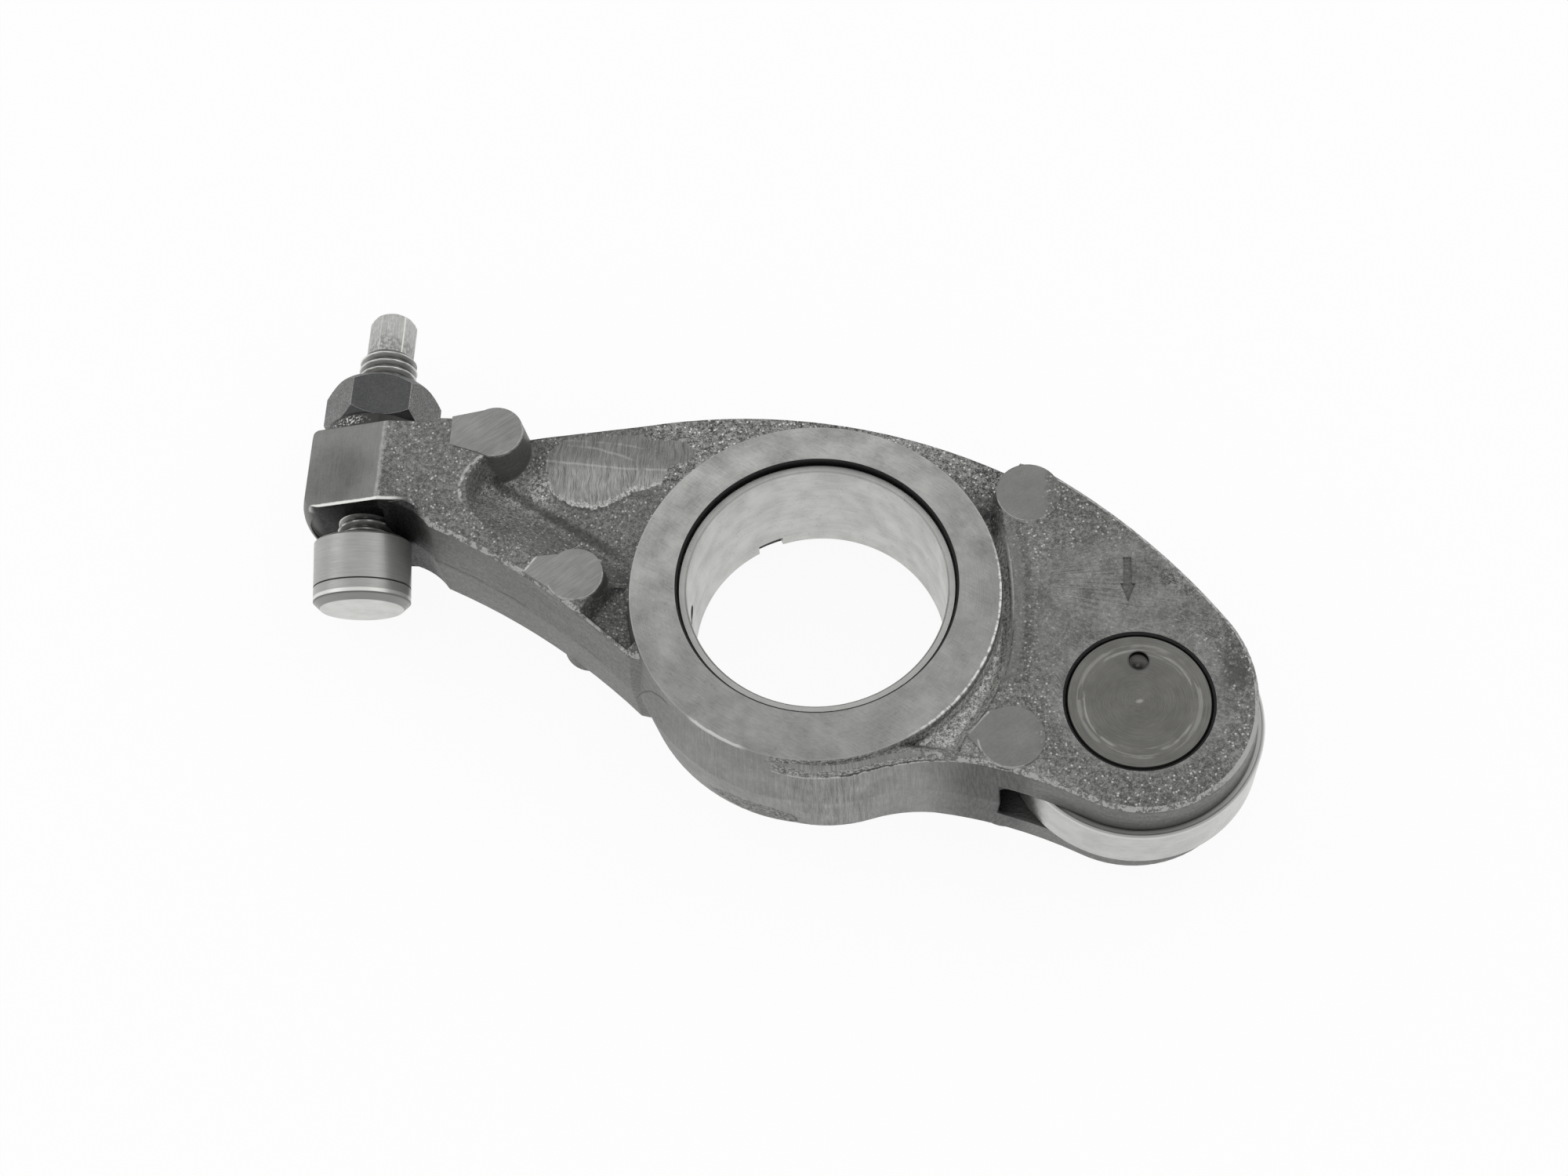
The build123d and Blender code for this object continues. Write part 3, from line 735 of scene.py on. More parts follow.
for centre, radius, low, high in PADS:
    out = length(x - centre[0], y - centre[1]) - radius
    turn = angle(x - centre[0], y - centre[1])
    rim = (
        band(out, -0.02, 0.08, 0.14) & step(turn, radians(low - 6), radians(low))
        & step(turn, radians(high + 6), radians(high))
    )
    colour = net.mix(rim * burr * step(z, 11.6, 11.9) * 0.5, colour, srgb(200))
for start, end, strength in PAD_LINES:
    run = Vector(end) - Vector(start)
    along, across = turned(x - start[0], y - start[1], degrees(atan2(run.y, run.x)))
    streak = (
        band(across, 0.0, 0.12, 0.16) & step(along, -0.2, 0.2)
        & step(along, run.length + 0.2, run.length - 0.2)
    )
    colour = net.mix(
        streak * step(z, 11.3, 11.6) * net.blend(burr, strength * 0.4, strength), colour, srgb(222)
    )
told("pads")

# %% [markdown]
# ### Forging: ground ring
#
# The ring round the bore is the most exact face of the arm. It is smooth and light, with painted
# light that grows towards the upper left, faint rings crossed by faint strokes, and a beaded
# painted highlight on its rim.

# %% Forging: ground ring of the boss
is_ring = step(az, BOSS_FACE - 0.08, BOSS_FACE - 0.03) & flat
_, ring_fine = net.group(ground, Along=angle(x, y) * 26.0, Across=boss_r, Pitch=1.6)
hatch_along, hatch_across = turned(x, y, -32.0)
_, hatch_fine = net.group(ground, Along=hatch_along, Across=hatch_across, Depth=4.0, Pitch=2.0)
# Painted light: the ring is lighter towards the upper left.
ring_painted_light_base = net.mix(step(y - 0.4 * x, -12.0, 30.0), srgb(166), srgb(190))
ring_mix = (
    ring_fine * 0.12 + hatch_fine * 0.20 + cloud * 0.34 + spot * 0.16 - slow * 1.0
    + (harsh_grain - 0.5) * 0.10
)
ring_colour = net.mix(ring_mix, ring_painted_light_base, srgb(112))
colour = net.mix(is_ring, colour, ring_colour)
# Painted highlight: a beaded bright line on parts of the rim of the ring.
bead_rim_highlight = step(boss_r + wobble * 0.5, 29.35, 29.6) & step(az, 12.6, 12.9)
bead_turn = step(side_angle, radians(-62), radians(-48)) & step(side_angle, radians(24), radians(2))
front_turn = (
    step(side_angle, radians(-131), radians(-127))
    & step(side_angle, radians(-108), radians(-113))
)
bead_beads = step(net.noise(net.join(side_angle * 30.0, 0.0, 0.0), 1.1, 2.0, 0.6), 0.38, 0.55)
colour = net.mix(bead_rim_highlight & ((bead_turn & bead_beads) | (front_turn * 0.7)), colour, srgb(232))
# Painted highlight: a faint light line round the outer edge of the ring.
ring_edge_highlight = step(boss_r, 29.5, 29.75) & step(az, 12.9, 13.0)
colour = net.mix(ring_edge_highlight * 0.25, colour, srgb(196))
told("ground ring of the boss")

# %% [markdown]
# ### Forging: screw block
#
# The end of the arm is milled to a block for the screw. Its face has fine vertical lines, and its
# lower lip and its seam with the cheek get a painted highlight. The spot face beneath it gets a
# painted shade, because light seldom reaches it, and the seat of the nut is painted dark, with
# painted glints and a painted shadow line at its foot.

# %% Forging: screw block
BLOCK_FACE = -73.0
SEAT_TOP = 29.4
is_block = (
    step(x, BLOCK_FACE + 0.2, BLOCK_FACE - 0.2) & step(anz, 0.995, 0.985)
    & step(y, 14.0, 14.2)
)
_, block_fine = net.group(ground, Along=y, Across=x, Depth=z, Pitch=1.9)
block_dim = blob(x, y, -80.5, 19.5, 9.0, 9.0)
block_mix = block_fine * 0.16 + (harsh_grain - 0.5) * 0.12 - slow * 0.5
block_mix = block_mix + cloud * 0.20 + spot * 0.15 + block_dim * 0.45
block_colour = net.mix(block_mix, srgb(130), srgb(84))
colour = net.mix(is_block, colour, block_colour)
# Painted highlight: a light strip on the seam between the block and the cheek.
block_seam_highlight = (
    band(x + wobble * 0.5, -73.1, 0.25, 0.3) & step(az, 11.4, 11.7)
    & step(y, 14.0, 14.5)
)
colour = net.mix(block_seam_highlight * net.blend(grain, 0.2, 0.7), colour, srgb(176))
# Painted highlight: a bright line along the lower lip of the block.
lip_highlight = (
    step(y + wobble * 0.3, 15.1, 14.8) & step(y, 14.1, 14.3) & step(az, 6.0, 7.0)
    & step(x, -68.0, -71.0)
)
colour = net.mix(lip_highlight * 0.85, colour, srgb(232))
# Painted shade: the underside of the block and its arch are painted nearly black.
underside_shade = (
    step(ny, -0.7, -0.9) & step(x, -66.0, -68.0) & step(y, 17.0, 16.0)
    & step(x, -86.0, -84.0)
)
arch_shade = (
    step(ny, -0.3, -0.5) & step(x + wobble * 1.5, -63.0, -67.0) & step(y, 14.6, 14.3)
    & step(x, -73.0, -71.0)
)
colour = net.mix(underside_shade | arch_shade, colour, net.mix(grain, srgb(24), srgb(62)))
is_seat = step(y, SEAT_TOP - 0.05, SEAT_TOP + 0.02) & step(x, -67.0, -67.6)
# Painted shade on the seat of the nut, with painted glints at its left and a painted shadow line at
# its foot.
seat_glints = step(net.noise(place, 2.4, 3.0, 0.7), 0.5, 0.62)
seat_shade_colour = net.mix(seat_glints * blob(x, y, -80.5, 31.4, 5.0, 1.2), srgb(58), srgb(210))
seat_shade_colour = net.mix(step(y, 29.75, 29.5), seat_shade_colour, srgb(22))
colour = net.mix(is_seat, colour, seat_shade_colour)
told("screw block")

# %% [markdown]
# ### Forging: patch on the web
#
# Someone ground the web by hand. The patch has no plain outline, so two broken lines give its lower
# and upper edge along the arm, and a few bows stand for the sweeps of the grinder.

# %% Forging: hand-ground patch on the web
PATCH_START = -46.4
PATCH_LENGTH = 25.6
PATCH_LOW = (
    (0.0, 0.60), (0.06, 0.36), (0.19, 0.24), (0.335, 0.16), (0.48, 0.25), (0.59, 0.42),
    (0.76, 0.50), (0.79, 0.74), (0.86, 0.86), (0.95, 0.90), (1.0, 1.2),
)
PATCH_HIGH = (
    (0.0, 0.9), (0.10, 1.10), (0.30, 1.18), (0.62, 1.20), (0.66, 1.14), (0.9, 1.10), (1.0, 0.9)
)
patch_at = (x - PATCH_START) / PATCH_LENGTH
patch_low = net.curve(patch_at, PATCH_LOW) * 12.0 + 15.0
patch_high = net.curve(patch_at, PATCH_HIGH) * 12.0 + 16.3
ragged = wobble * 2.0 + slow * 1.2
patch = step(y - patch_low + ragged, -0.15, 0.15) & step(patch_high - y + ragged * 0.5, -0.1, 0.15)
patch = patch & step(x + ragged, -46.6, -46.2) & step(x + ragged * 0.6, -20.7, -21.1)
patch = patch & step(z, 3.6, 4.0) & step(z, 7.4, 7.0) & step(nz, 0.9, 0.96)
stroke_line, stroke_fine = net.group(
    ground, Along=y * 1.4 + x * 0.2, Across=x + slow * 2.0, Pitch=2.4
)
lower_lobe = step(y + 0.06 * (x + 35.0) + slow * 3.0, 26.2, 22.8)
sweep = band(y + 0.14 * (x + 43.0) - 0.004 * (x + 43.0) * (x + 43.0) - 25.3 + slow, 0.0, 0.05, 0.3)
bow = (x + 43.0) * (x + 43.0) * 0.02
sweep = sweep | (band(y + bow - 28.4 + slow, 0.0, 0.04, 0.3) & step(x, -31.0, -33.0)) * 0.8
sweep = sweep | (band(y + bow * 0.4 - 29.4 - slow, 0.0, 0.04, 0.25) & step(x, -26.0, -28.0)) * 0.7
patch_colour = net.mix(stroke_line * 0.34 + stroke_fine * 0.44 + slow * 0.8, srgb(90), srgb(160))
patch_low_colour = net.mix(
    stroke_line * 0.40 + stroke_fine * 0.55 + slow * 0.6, srgb(92), srgb(190)
)
patch_colour = net.mix(lower_lobe, patch_colour, patch_low_colour)
burnish = (
    step(y - patch_low + ragged, 1.3, 0.2) & step(x, -26.0, -28.0)
    & step(harsh_grain, 0.2, 0.7)
)
sweep = sweep & step(slow + wobble * 0.6, -0.12, 0.10)
patch_colour = net.mix((sweep * 0.28) | (burnish * 0.8), patch_colour, srgb(220))
colour = net.mix(patch * 0.94, colour, patch_colour)
shade = (
    band(y - patch_low + ragged, -0.35, 0.15, 0.25) & step(y, 21.0, 19.5)
    & step(x, -46.0, -45.0) & in_trough
)
colour = net.mix(shade * 0.5, colour, srgb(60))
told("hand-ground patch on the web")

# %% [markdown]
# ### Forging: arrow and bores
#
# The arrow is cut in and holds dirt, so it is darkened. The walls of the two bores, the gap round
# the pin and the slot for the roller get painted shade, lighter further out along the slot.

# %% Forging: engraved arrow and bores
ARROW = (49.6, 2.2)
FORK_SLOT_R = 24.8
arrow = (
    step(z, 11.93, 11.85) & step(z, 11.5, 11.6) & band(x, ARROW[0], 1.6, 0.2)
    & band(y, ARROW[1], 4.4, 0.2)
)
colour = net.mix(arrow * 0.85, colour, net.mix(grain, srgb(78), srgb(100)))
# Painted shade: the walls of the two bores and the gap round the pin are nearly black, the slot
# dark.
bore_wall_shade = step(length(x, y), BUSH_R + 0.35, BUSH_R + 0.25)
pin_gap_shade = step(pin_r, PIN_R + 0.5, PIN_R + 0.4) & step(az, 12.1, 12.05)
slot = step(pin_r, FORK_SLOT_R + 0.15, FORK_SLOT_R + 0.05) & step(az, 5.5, 5.45)
colour = net.mix(bore_wall_shade | pin_gap_shade, colour, srgb(26))
colour = net.mix(slot, colour, net.mix(step(x, 29.0, 34.0), srgb(34), srgb(76)))
told("engraved arrow and bores")

# %% [markdown]
# ### Forging: surface
#
# Ground faces are smoother and more metallic than the skin. The Bevel node softens the edges of the
# forging, strongly in the pockets and hardly at all at machined faces. Rounding the mesh itself
# would mean changing the CAD shape.

# %% Forging: surface and finish
machined = is_ring | is_pad | is_block
smooth = machined | (worn * 0.8) | (is_wall * 0.75) | (patch * 0.7)
rough = net.blend(machined, net.blend(grain, 0.56, 0.44), 0.44)
rough = net.blend(patch, rough, 0.40)
calm = machined | (is_wall * 0.75) | (step(zone_r, 1.1, 0.8) * 0.7)
lines = is_ring * ring_fine * 0.10 + is_pad * pad_fine * 0.2 + is_wall * trim_fine * 0.2
height = skin_height * calm.no() + lines * 0.5
net.feed(net.shader.inputs["Metallic"], net.blend(smooth, 0.45, 0.85))
bump = dress("rocker_body", forging, net, colour, rough, height, 0.20)
rounding = net.node("ShaderNodeBevel", samples=6)
crisp = (
    step(boss_r, 30.6, 30.2) | step(x, -70.0, -71.0) | step(az, 11.95, 12.1)
    | step(pin_r, 12.6, 12.2)
)
soft_radius = net.blend(in_trough, 0.9, 2.0)
net.feed(rounding.inputs["Radius"], net.blend(crisp, soft_radius, 0.28) * MM)
net.tree.links.new(rounding.outputs["Normal"], bump.inputs["Normal"])

# %% [markdown]
# ## Bush
#
# A rolled steel bush lines the bore. It has fine lines along its turning, pits from the rolling and
# a bright lip at its ends, worn and with a painted highlight.

# %% Bush
BUSH_END = 11.8
steel, net, place, (x, y, z) = finish_material("bush_steel", 1.0, 0.42)
cloud, _ = net.group(mottled, Vector=place, Size=1.3)
pits = (
    step(net.noise(place, 3.4, 2.0, 0.6), 0.60, 0.68)
    & step(net.noise(place, 0.4, 2.0, 0.6), 0.44, 0.60)
)
around = angle(x, y) * 22.0
run, fine = net.group(ground, Along=around, Across=z, Pitch=1.2)
colour = net.mix(cloud * 0.18 + fine * 0.14 + run * 0.10, srgb(204), srgb(144))
colour = net.mix(pits * 0.5, colour, srgb(104))
is_end = step(z.abs(), BUSH_END - 0.3, BUSH_END - 0.25)
colour = net.mix(is_end * 0.4, colour, srgb(140))
# The bright lip is wear and painted highlight together.
(edge,) = net.group(worn_and_lit_edges, Radius=0.25 * MM)
colour = net.mix(edge * is_end * 0.7, colour, srgb(238))
rough = net.blend(cloud, 0.36, 0.46)
dress("shaft_bush", steel, net, colour, rough, run * 0.5 + fine * 0.5, 0.015)

# %% [markdown]
# ## Pin
#
# The hardened pin is darker and slightly olive from its heat treatment. Its end was faced on a
# lathe, so everything on it follows the radius: rings, broken bright arcs and a dot at the middle.
# The oil hole gets painted shade at the top of its wall, and the edge of the pin a dark ring of
# painted shade.

# %% Pin
PIN_HOLE_RISE = 7.0
PIN_HOLE_R = 1.6
pin_steel, net, place, (x, y, z) = finish_material("pin_steel", 0.9, 0.40)
pin_r = length(x - PIN[0], y - PIN[1])
around = angle(x - PIN[0], y - PIN[1])
cloud, _ = net.group(mottled, Vector=place, Size=1.6)
ring_line, ring_fine = net.group(ground, Along=around * 6.0, Across=pin_r, Pitch=2.4)
olive = (1.0, 0.99, 0.93)
face = net.mix(ring_fine * 0.30 + cloud * 0.35, srgb(118, olive), srgb(86, olive))
broken = net.noise(net.join(around * 1.0, pin_r * 0.5, 0.0), 1.2, 3.0, 0.6)
arcs = band(pin_r, 8.7, 0.10, 0.22) & step(broken, 0.46, 0.56)
arcs = arcs | (band(pin_r, 9.5, 0.16, 0.30) & step(broken, 0.56, 0.44)) * 0.7
arcs = arcs | (band(pin_r, 8.1, 0.05, 0.15) & step(broken, 0.50, 0.40)) * 0.6
face = net.mix(arcs * 0.42, face, srgb(176))
face = net.mix(step(pin_r, 8.3, 7.9) * 0.2, face, srgb(90, olive))
dot = blob(x - y * 0.5, y, PIN[0] + 9.5, PIN[1], 0.8, 0.5)
face = net.mix(dot * 0.5, face, srgb(180))
# Painted shade: the upper wall of the oil hole is dark and its bottom lighter.
hole_r = length(x - PIN[0], y - PIN[1] - PIN_HOLE_RISE)
hole = step(hole_r, PIN_HOLE_R + 0.06, PIN_HOLE_R + 0.01) & step(z, 11.7, 11.6)
face = net.mix(
    hole, face,
    net.mix(step(z, 10.9, 10.2), srgb(40, (1.0, 0.95, 0.86)), srgb(106, (1.0, 0.97, 0.90)))
)
hole_rim = band(hole_r, PIN_HOLE_R + 0.10, 0.05, 0.12) & step(z, 11.6, 11.75)
face = net.mix(hole_rim * 0.5, face, srgb(60))
# Painted shade: a dark ring at the edge of the pin.
face = net.mix(step(pin_r, 11.1, 11.2), face, srgb(40))
rough = net.blend(ring_fine, 0.36, 0.48)
dress("roller_pin", pin_steel, net, face, rough, ring_line * 0.5 + ring_fine * 0.5, 0.02)

# %% [markdown]
# ## Roller
#
# The roller is the brightest piece, ground all round. The rim and the recessed face are one mesh,
# and the radius tells them apart. The inner face gets a painted shadow of the arm and is painted
# lighter towards the rim, the chamfer gets a painted highlight, and a dark line of painted
# reflection lies between face and rim.

# %% Roller
roller_steel, net, place, (x, y, z) = finish_material("roller_steel", 0.85, 0.26)
_, _, nz = net.parts(net.coordinates.outputs["Normal"])
pin_r = length(x - PIN[0], y - PIN[1])
around = angle(x - PIN[0], y - PIN[1])
cloud, _ = net.group(mottled, Vector=place, Size=1.4)
_, rim_fine = net.group(ground, Along=around * 20.0, Across=z, Pitch=2.6)
is_rim = step(pin_r, 20.0, 20.2)
colour = net.mix(rim_fine * 0.22 + cloud * 0.28, srgb(196), srgb(138))
_, ring_fine = net.group(ground, Along=around * 12.0, Across=pin_r, Pitch=2.2)
face = net.mix(ring_fine * 0.3 + cloud * 0.2, srgb(138), srgb(96))
# Painted shadow of the arm on the inner face, painted lighter towards the rim.
face = net.mix(step(pin_r, 18.9, 18.5) * 0.5, face, srgb(84))
face = net.mix(step(pin_r, 19.0, 19.3) * 0.7, face, srgb(190))
# Painted highlight on the chamfer, and a dark line of painted reflection between face and rim.
chamfer = band(nz.abs(), 0.71, 0.12, 0.05) & is_rim
colour = net.mix(is_rim, face, colour)
colour = net.mix(chamfer * 0.6, colour, srgb(240))
colour = net.mix(band(pin_r, 19.75, 0.05, 0.1) * 0.5, colour, srgb(60))
rough = net.blend(is_rim, 0.36, 0.24)
dress("cam_roller", roller_steel, net, colour, rough, net.blend(is_rim, ring_fine, rim_fine), 0.008)

# %% [markdown]
# ## Floating bush
#
# A bronze bush floats between the pin and the roller. It is hidden, but an opened arm has to show
# it, so it gets bronze with fine turning lines.

# %% Floating bush
bronze, net, place, (x, y, z) = finish_material("bearing_bronze", 1.0, 0.32)
cloud, _ = net.group(mottled, Vector=place, Size=2.0)
around = angle(x - PIN[0], y - PIN[1])
_, rim_fine = net.group(ground, Along=around * 12.0, Across=z, Pitch=3.0)
colour = net.mix(cloud * 0.4 + rim_fine * 0.3, (0.50, 0.27, 0.10, 1.0), (0.32, 0.17, 0.07, 1.0))
dress("roller_bush", bronze, net, colour, 0.32, rim_fine, 0.01)

# %% [markdown]
# ## Nut
#
# The lock nut is blued. Its two side flats are rubbed bare by the spanner, and its corners are
# drawn bright, as wear and as a painted highlight.

# %% Nut
nut_steel, net, place, _ = finish_material("nut_steel", 0.75, 0.42)
nx, _, _ = net.parts(net.coordinates.outputs["Normal"])
cloud, _ = net.group(mottled, Vector=place, Size=2.2)
grit = net.noise(place, 3.4, 3.0, 0.6)
blued = net.mix(
    step(grit, 0.35, 0.7) * 0.5 + cloud * 0.3,
    srgb(74, (0.98, 1.0, 1.04)), srgb(98, (1.0, 1.0, 1.0))
)
side_flat = step(nx.abs(), 0.5, 0.7)
bare = net.mix(step(grit, 0.40, 0.66), srgb(94), srgb(142))
colour = net.mix(side_flat * 0.8, blued, bare)
# The bright corners are wear and painted highlight together.
(edge,) = net.group(worn_and_lit_edges, Radius=0.28 * MM)
colour = net.mix(edge * step(grit, 0.30, 0.50) * 0.9, colour, srgb(204))
rough = net.blend(cloud, 0.38, 0.50)
dress("lock_nut", nut_steel, net, colour, rough, grit, 0.04)

# %% [markdown]
# ## Foot
#
# The foot is turned, and it hangs at a slant. Its rings follow its own axis, so the height along
# that axis is worked out first, and every line of the foot is a band of that height. The chamfer
# is painted darker, with a painted reflection line above it and a painted shadow line at its top.

# %% Foot
FOOT_DROOP = 12.0
FOOT_LEAN = 3.4
FOOT_FACE = -6.1
FOOT_GROOVE_RISE = 3.525
foot_steel, net, place, (x, y, z) = finish_material("foot_steel", 0.60, 0.30)
foot_axis = Matrix.Rotation(
    radians(FOOT_LEAN), 3, "Z") @ Matrix.Rotation(radians(FOOT_DROOP), 3, "X") @ Vector((0, 1, 0)
)
foot_y = (x - SCREW_X) * foot_axis.x + (y - BALL_Y) * foot_axis.y + z * foot_axis.z
cloud, spot = net.group(mottled, Vector=place, Size=2.0)
around = angle(x - SCREW_X, z) * 8.0
turn_line, turn_fine = net.group(ground, Along=around, Across=foot_y, Pitch=3.0)
colour = net.mix(turn_fine * 0.18 + turn_line * 0.12 + cloud * 0.12, srgb(178), srgb(116))
is_face = step(foot_y, FOOT_FACE + 0.1, FOOT_FACE + 0.02)
colour = net.mix(is_face, colour, net.mix(cloud * 0.5 + spot * 0.2, srgb(222), srgb(192)))
# Painted shade on the chamfer, a painted reflection line above it and a painted shadow line at its
# top.
chamfer = step(foot_y, -4.8, -4.95) & is_face.no()
colour = net.mix(chamfer * 0.8, colour, srgb(138))
colour = net.mix(band(foot_y, -4.55, 0.20, 0.20) * 0.7, colour, srgb(244))
colour = net.mix(band(foot_y, -5.0, 0.06, 0.10) * 0.6, colour, srgb(70))
is_groove = band(foot_y, FOOT_FACE + FOOT_GROOVE_RISE, 0.10, 0.06)
colour = net.mix(is_groove, colour, srgb(58))
rough = net.blend(is_face, net.blend(turn_fine, 0.28, 0.38), 0.44)
dress("socket_foot", foot_steel, net, colour, rough, turn_line * 0.4 + turn_fine * 0.6, 0.012)

# %% [markdown]
# ## Adjusting screw: shape
#
# The CAD screw is a plain shank, because a thread would weigh the model down. Here one surface is
# swept round the axis, with a radius that follows the ball, the neck, a helical thread and the
# crowned hexagon. A screw modifier would make the thread alone, but not its run into the neck and
# the hexagon.

# %% Adjusting screw
BALL_R = 4.5
NECK_R = 2.8
THREAD_START = 11.2
THREAD_R = 5.0
THREAD_PITCH = 1.5
THREAD_DEPTH = 0.85
HEX_BASE = 48.3
HEX_TOP = 57.2
HEX_FLATS = 7.0
HEX_CROWN = 5.2
HEX_TURN = 9.6


def profile_radius(y, heading):
    """The radius of the screw at a height and a heading, in millimetres."""
    if y <= BALL_Y + sqrt(BALL_R ** 2 - NECK_R ** 2):
        return sqrt(max(0.0, BALL_R ** 2 - (y - BALL_Y) ** 2))
    if y < THREAD_START:
        return NECK_R
    if y <= HEX_BASE:
        turns = y / THREAD_PITCH - heading / (2 * pi)
        wave = abs(2 * (turns - floor(turns)) - 1)
        flank = min(1.0, max(0.0, (wave - 0.10) / 0.72))
        end = min(1.0, (y - THREAD_START) / 1.0, (HEX_BASE - y) / 1.0)
        return min(THREAD_R - 0.9 * (1 - end), THREAD_R - THREAD_DEPTH * flank)
    side = (heading - radians(HEX_TURN) + pi / 6) % (pi / 3) - pi / 6
    flat = HEX_FLATS / 2 / cos(side)
    crown = sqrt(max(0.0, HEX_CROWN ** 2 - max(0.0, y - HEX_TOP + HEX_CROWN) ** 2))
    return min(flat, crown)


SEGMENTS = 96
BALL_ROWS = 18
CROWN_ROWS = 20
ROWS_A_PITCH = 12
heights = [BALL_Y - BALL_R * cos(pi / 2 * number / BALL_ROWS) for number in range(1, BALL_ROWS + 1)]
heights += [BALL_Y + 0.4 * number for number in range(1, 12)]
heights += [THREAD_START - 0.01]
thread_rows = ceil((HEX_BASE - THREAD_START) / (THREAD_PITCH / ROWS_A_PITCH))
heights += [
    THREAD_START + (HEX_BASE - THREAD_START) * number / thread_rows
    for number in range(thread_rows + 1)
]
heights += [HEX_BASE + 0.01 + 0.5 * number for number in range(9)]
heights += [
    HEX_TOP - HEX_CROWN * (1 - sin(pi / 2 * number / CROWN_ROWS))
    for number in range(1, CROWN_ROWS)
]
heights.sort()
mesh = bmesh.new()
rows = []
for y_mm in heights:
    row = []
    for side in range(SEGMENTS):
        heading = 2 * pi * side / SEGMENTS + radians(HEX_TURN)
        r = profile_radius(y_mm, heading)
        point = (SCREW_X + r * sin(heading)) * MM, y_mm * MM, r * cos(heading) * MM
        row.append(mesh.verts.new(point))
    rows.append(row)
for lower, upper in zip(rows, rows[1:]):
    for side in range(SEGMENTS):
        after = (side + 1) % SEGMENTS
        mesh.faces.new((lower[side], lower[after], upper[after], upper[side]))
for row, tip in ((rows[0], BALL_Y - BALL_R), (rows[-1], HEX_TOP)):
    centre = mesh.verts.new((SCREW_X * MM, tip * MM, 0))
    for side in range(SEGMENTS):
        mesh.faces.new((row[side], row[(side + 1) % SEGMENTS], centre))
bmesh.ops.recalc_face_normals(mesh, faces=mesh.faces)
screw_mesh = bpy.data.meshes.new("threaded_screw")
mesh.to_mesh(screw_mesh)
mesh.free()
screw = bpy.data.objects.new("threaded_screw", screw_mesh)
bpy.context.collection.objects.link(screw)
for polygon in screw_mesh.polygons:
    polygon.use_smooth = True
screw_mesh.set_sharp_from_angle(angle=radians(32))
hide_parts("adjusting_screw")
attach(screw, "screw")
print("screw triangles", 2 * len(screw_mesh.polygons))

# %% [markdown]
# ## Adjusting screw: finish
#
# The drawn hexagon is bright with dark stains, and its corners get a painted highlight, stronger
# on the side towards the arm. On the thread, the crests get a painted highlight and the roots a
# painted shade, so the distance from the axis drives the colour.

# %% Screw finish
screw_steel, net, place, (x, y, z) = finish_material("screw_steel", 0.8, 0.36)
screw_r = length(x - SCREW_X, z)
blotch = step(net.noise(place, 1.1, 4.0, 0.65), 0.35, 0.65)
_, drawn_fine = net.group(ground, Along=y, Across=angle(x - SCREW_X, z) * 5.0, Pitch=1.6)
stain = blob(y, x, 49.0, SCREW_X, 4.2, 9.0) & step(net.noise(place, 1.4, 3.0, 0.6), 0.42, 0.58)
hexagon = net.mix(blotch * 0.22 + drawn_fine * 0.42, srgb(200), srgb(126))
hexagon = net.mix(stain * 0.55, hexagon, srgb(96))
# The bright edges of the hexagon are wear and painted highlight together.
(edge,) = net.group(worn_and_lit_edges, Radius=0.18 * MM)
hexagon = net.mix(edge * 0.7, hexagon, srgb(240))
# Painted highlight on the crests of the thread and painted shade in its roots.
crest_highlight = step(screw_r, 4.72, 4.95)
thread = net.mix(crest_highlight, net.mix(step(screw_r, 4.1, 4.6), srgb(104), srgb(160)), srgb(234))
side_turn = net.math("FLOORED_MODULO", angle(z, x - SCREW_X) - radians(HEX_TURN - 30), radians(60))
# Painted highlight on the corners of the hexagon, stronger on the side towards the arm.
corner_highlight = (
    step((side_turn - radians(30)).abs(), radians(27.4), radians(29.0))
    & step(screw_r, 3.6, 3.9)
)
hexagon = net.mix(
    corner_highlight * net.blend(step(x, SCREW_X - 0.5, SCREW_X + 0.5), 0.2, 0.8), hexagon, srgb(240)
)
is_thread = step(y, HEX_BASE + 0.1, HEX_BASE - 0.1)
colour = net.mix(is_thread, hexagon, thread)
rough = net.blend(blotch, 0.32, 0.44)
dress(screw, screw_steel, net, colour, rough, blotch * 0.4 + drawn_fine * 0.6, 0.02)

# %% [markdown]
# ## Floor
#
# The arm lies on a plain pale floor. A white paint keeps its soft shadow, and a glow that only the
# camera and reflections see takes the paint up to white, so no extra light reaches the object.

# %% Floor
floor_mesh = bpy.data.meshes.new("floor")
FLOOR_HALF = 3.0
FLOOR_GAP = 0.0001
FLOOR_PAINT = 0.88
FLOOR_SEEN_WHITE = 0.93
floor_z = -BOSS_FACE * MM - FLOOR_GAP
corners = [
    (u * FLOOR_HALF, v * FLOOR_HALF, floor_z)
    for u, v in ((-1, -1), (1, -1), (1, 1), (-1, 1))
]
floor_mesh.from_pydata(corners, [], [(0, 1, 2, 3)])
floor_piece = bpy.data.objects.new("floor", floor_mesh)
bpy.context.collection.objects.link(floor_piece)
white = bpy.data.materials.new("white_floor")
white.use_nodes = True
net = Net(white.node_tree)
output = white.node_tree.nodes["Material Output"]
paint = white.node_tree.nodes["Principled BSDF"]
paint.inputs["Base Color"].default_value = (FLOOR_PAINT, FLOOR_PAINT, FLOOR_PAINT, 1.0)
paint.inputs["Roughness"].default_value = 0.9
paint.inputs["Specular IOR Level"].default_value = 0.0
glow = net.node("ShaderNodeEmission")
glow.inputs["Strength"].default_value = 1.0
rays = net.node("ShaderNodeLightPath")
seen = Value(net, rays.outputs["Is Camera Ray"]) | Value(net, rays.outputs["Is Glossy Ray"])
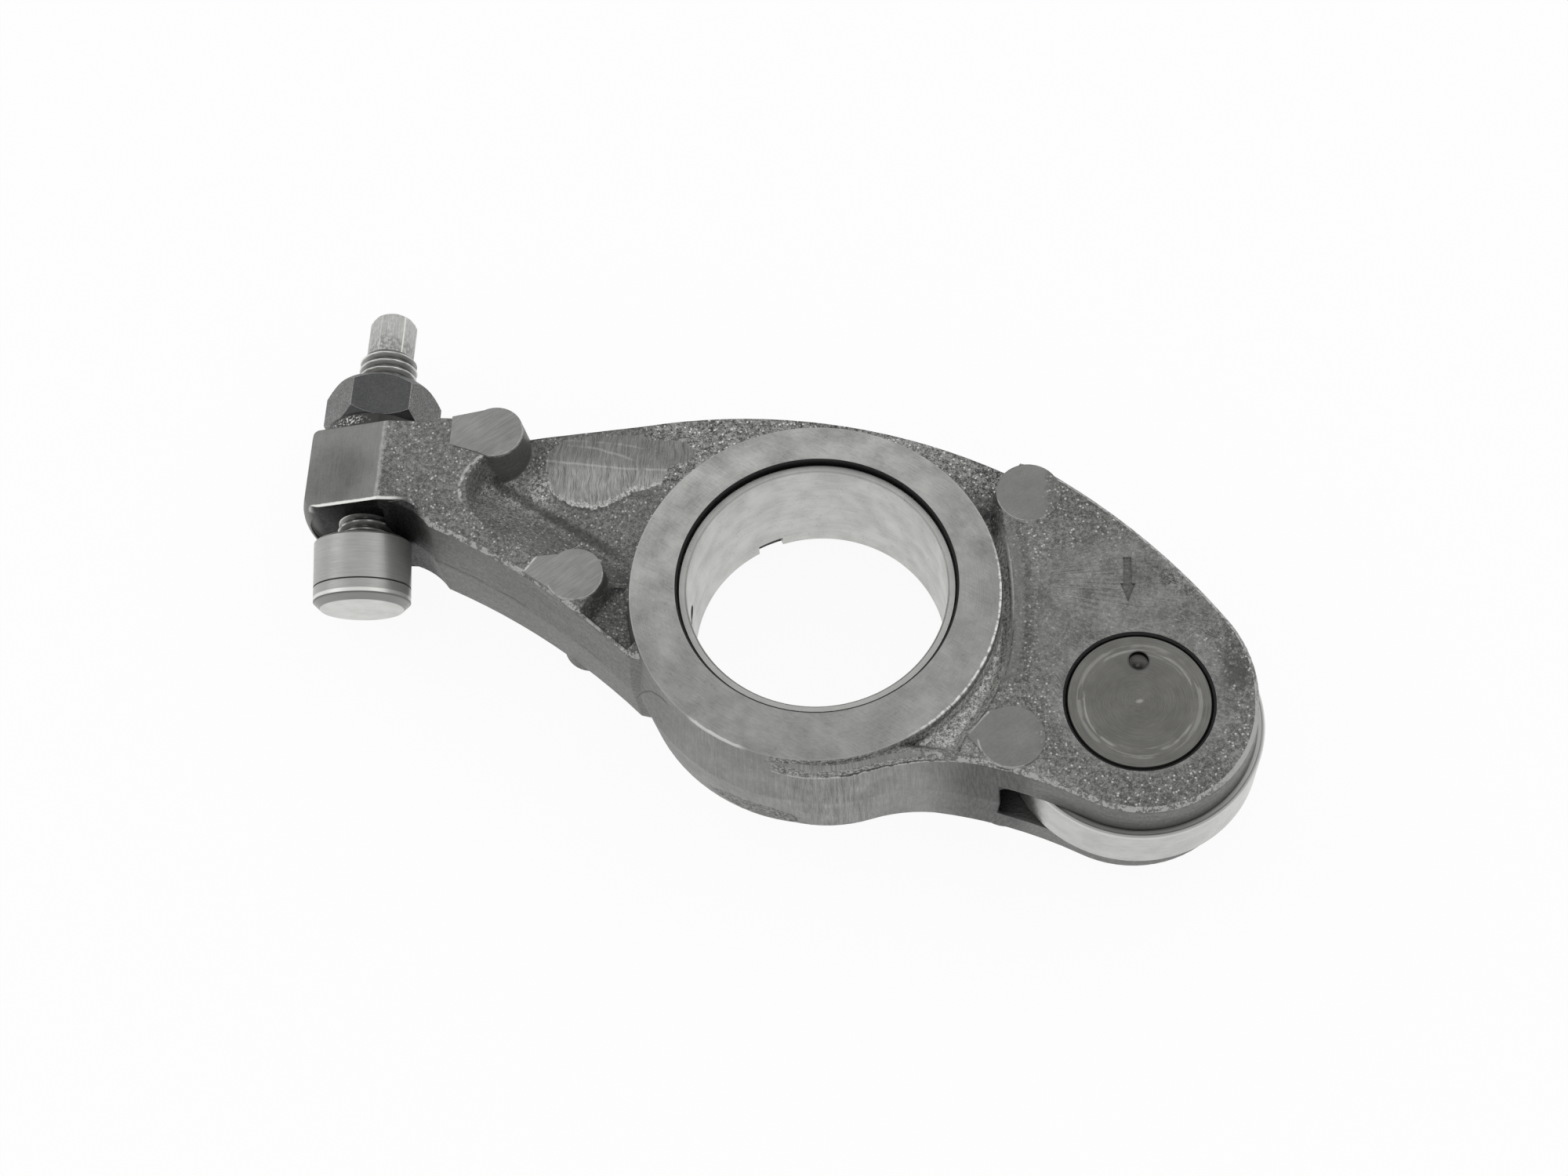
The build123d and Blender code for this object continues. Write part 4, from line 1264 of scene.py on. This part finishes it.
seen = seen | Value(net, rays.outputs["Is Transmission Ray"])
mixer = net.node("ShaderNodeMixShader")
net.feed(mixer.inputs[0], seen * FLOOR_SEEN_WHITE)
white.node_tree.links.new(paint.outputs[0], mixer.inputs[1])
white.node_tree.links.new(glow.outputs[0], mixer.inputs[2])
white.node_tree.links.new(mixer.outputs[0], output.inputs[0])
floor_mesh.materials.append(white)
print("floor at", floor_z, "m")

# %% [markdown]
# ## Surround and lamps
#
# An even grey surround lets each colour render about as it is written. Two large soft lamps from
# the back add the shine on the ring and the block.

# %% World and lamps
SURROUND = 0.80
LAMPS = (
    ("left box", (-0.75, 0.35, 0.55), 0.8, 0.6, 0.65),
    ("right box", (0.50, 0.50, 0.70), 0.7, 0.6, 0.8),
)
world = bpy.data.worlds.new("surround")
bpy.context.scene.world = world
world.use_nodes = True
net = Net(world.node_tree)
background = world.node_tree.nodes["Background"]
world_output = world.node_tree.nodes["World Output"]
background.inputs["Color"].default_value = (SURROUND, SURROUND, SURROUND, 1.0)
plain = net.node("ShaderNodeBackground")
plain.inputs["Color"].default_value = (1.0, 1.0, 1.0, 1.0)
rays = net.node("ShaderNodeLightPath")
mixer = net.node("ShaderNodeMixShader")
net.feed(mixer.inputs[0], Value(net, rays.outputs["Is Camera Ray"]))
world.node_tree.links.new(background.outputs[0], mixer.inputs[1])
world.node_tree.links.new(plain.outputs[0], mixer.inputs[2])
world.node_tree.links.new(mixer.outputs[0], world_output.inputs[0])


def soft_lamp(name, location, width, height, level):
    """An area lamp aimed at the bore, as bright to look at as its level."""
    data = bpy.data.lights.new(name, "AREA")
    data.shape = "RECTANGLE"
    data.size = width
    data.size_y = height
    data.energy = level * pi * width * height
    lamp = bpy.data.objects.new(name, data)
    lamp.location = location
    lamp.rotation_euler = (-Vector(location)).to_track_quat("-Z", "Y").to_euler()
    bpy.context.collection.objects.link(lamp)
    print(name, data.energy, "W")


for lamp_row in LAMPS:
    soft_lamp(*lamp_row)

# %% [markdown]
# ## Finish
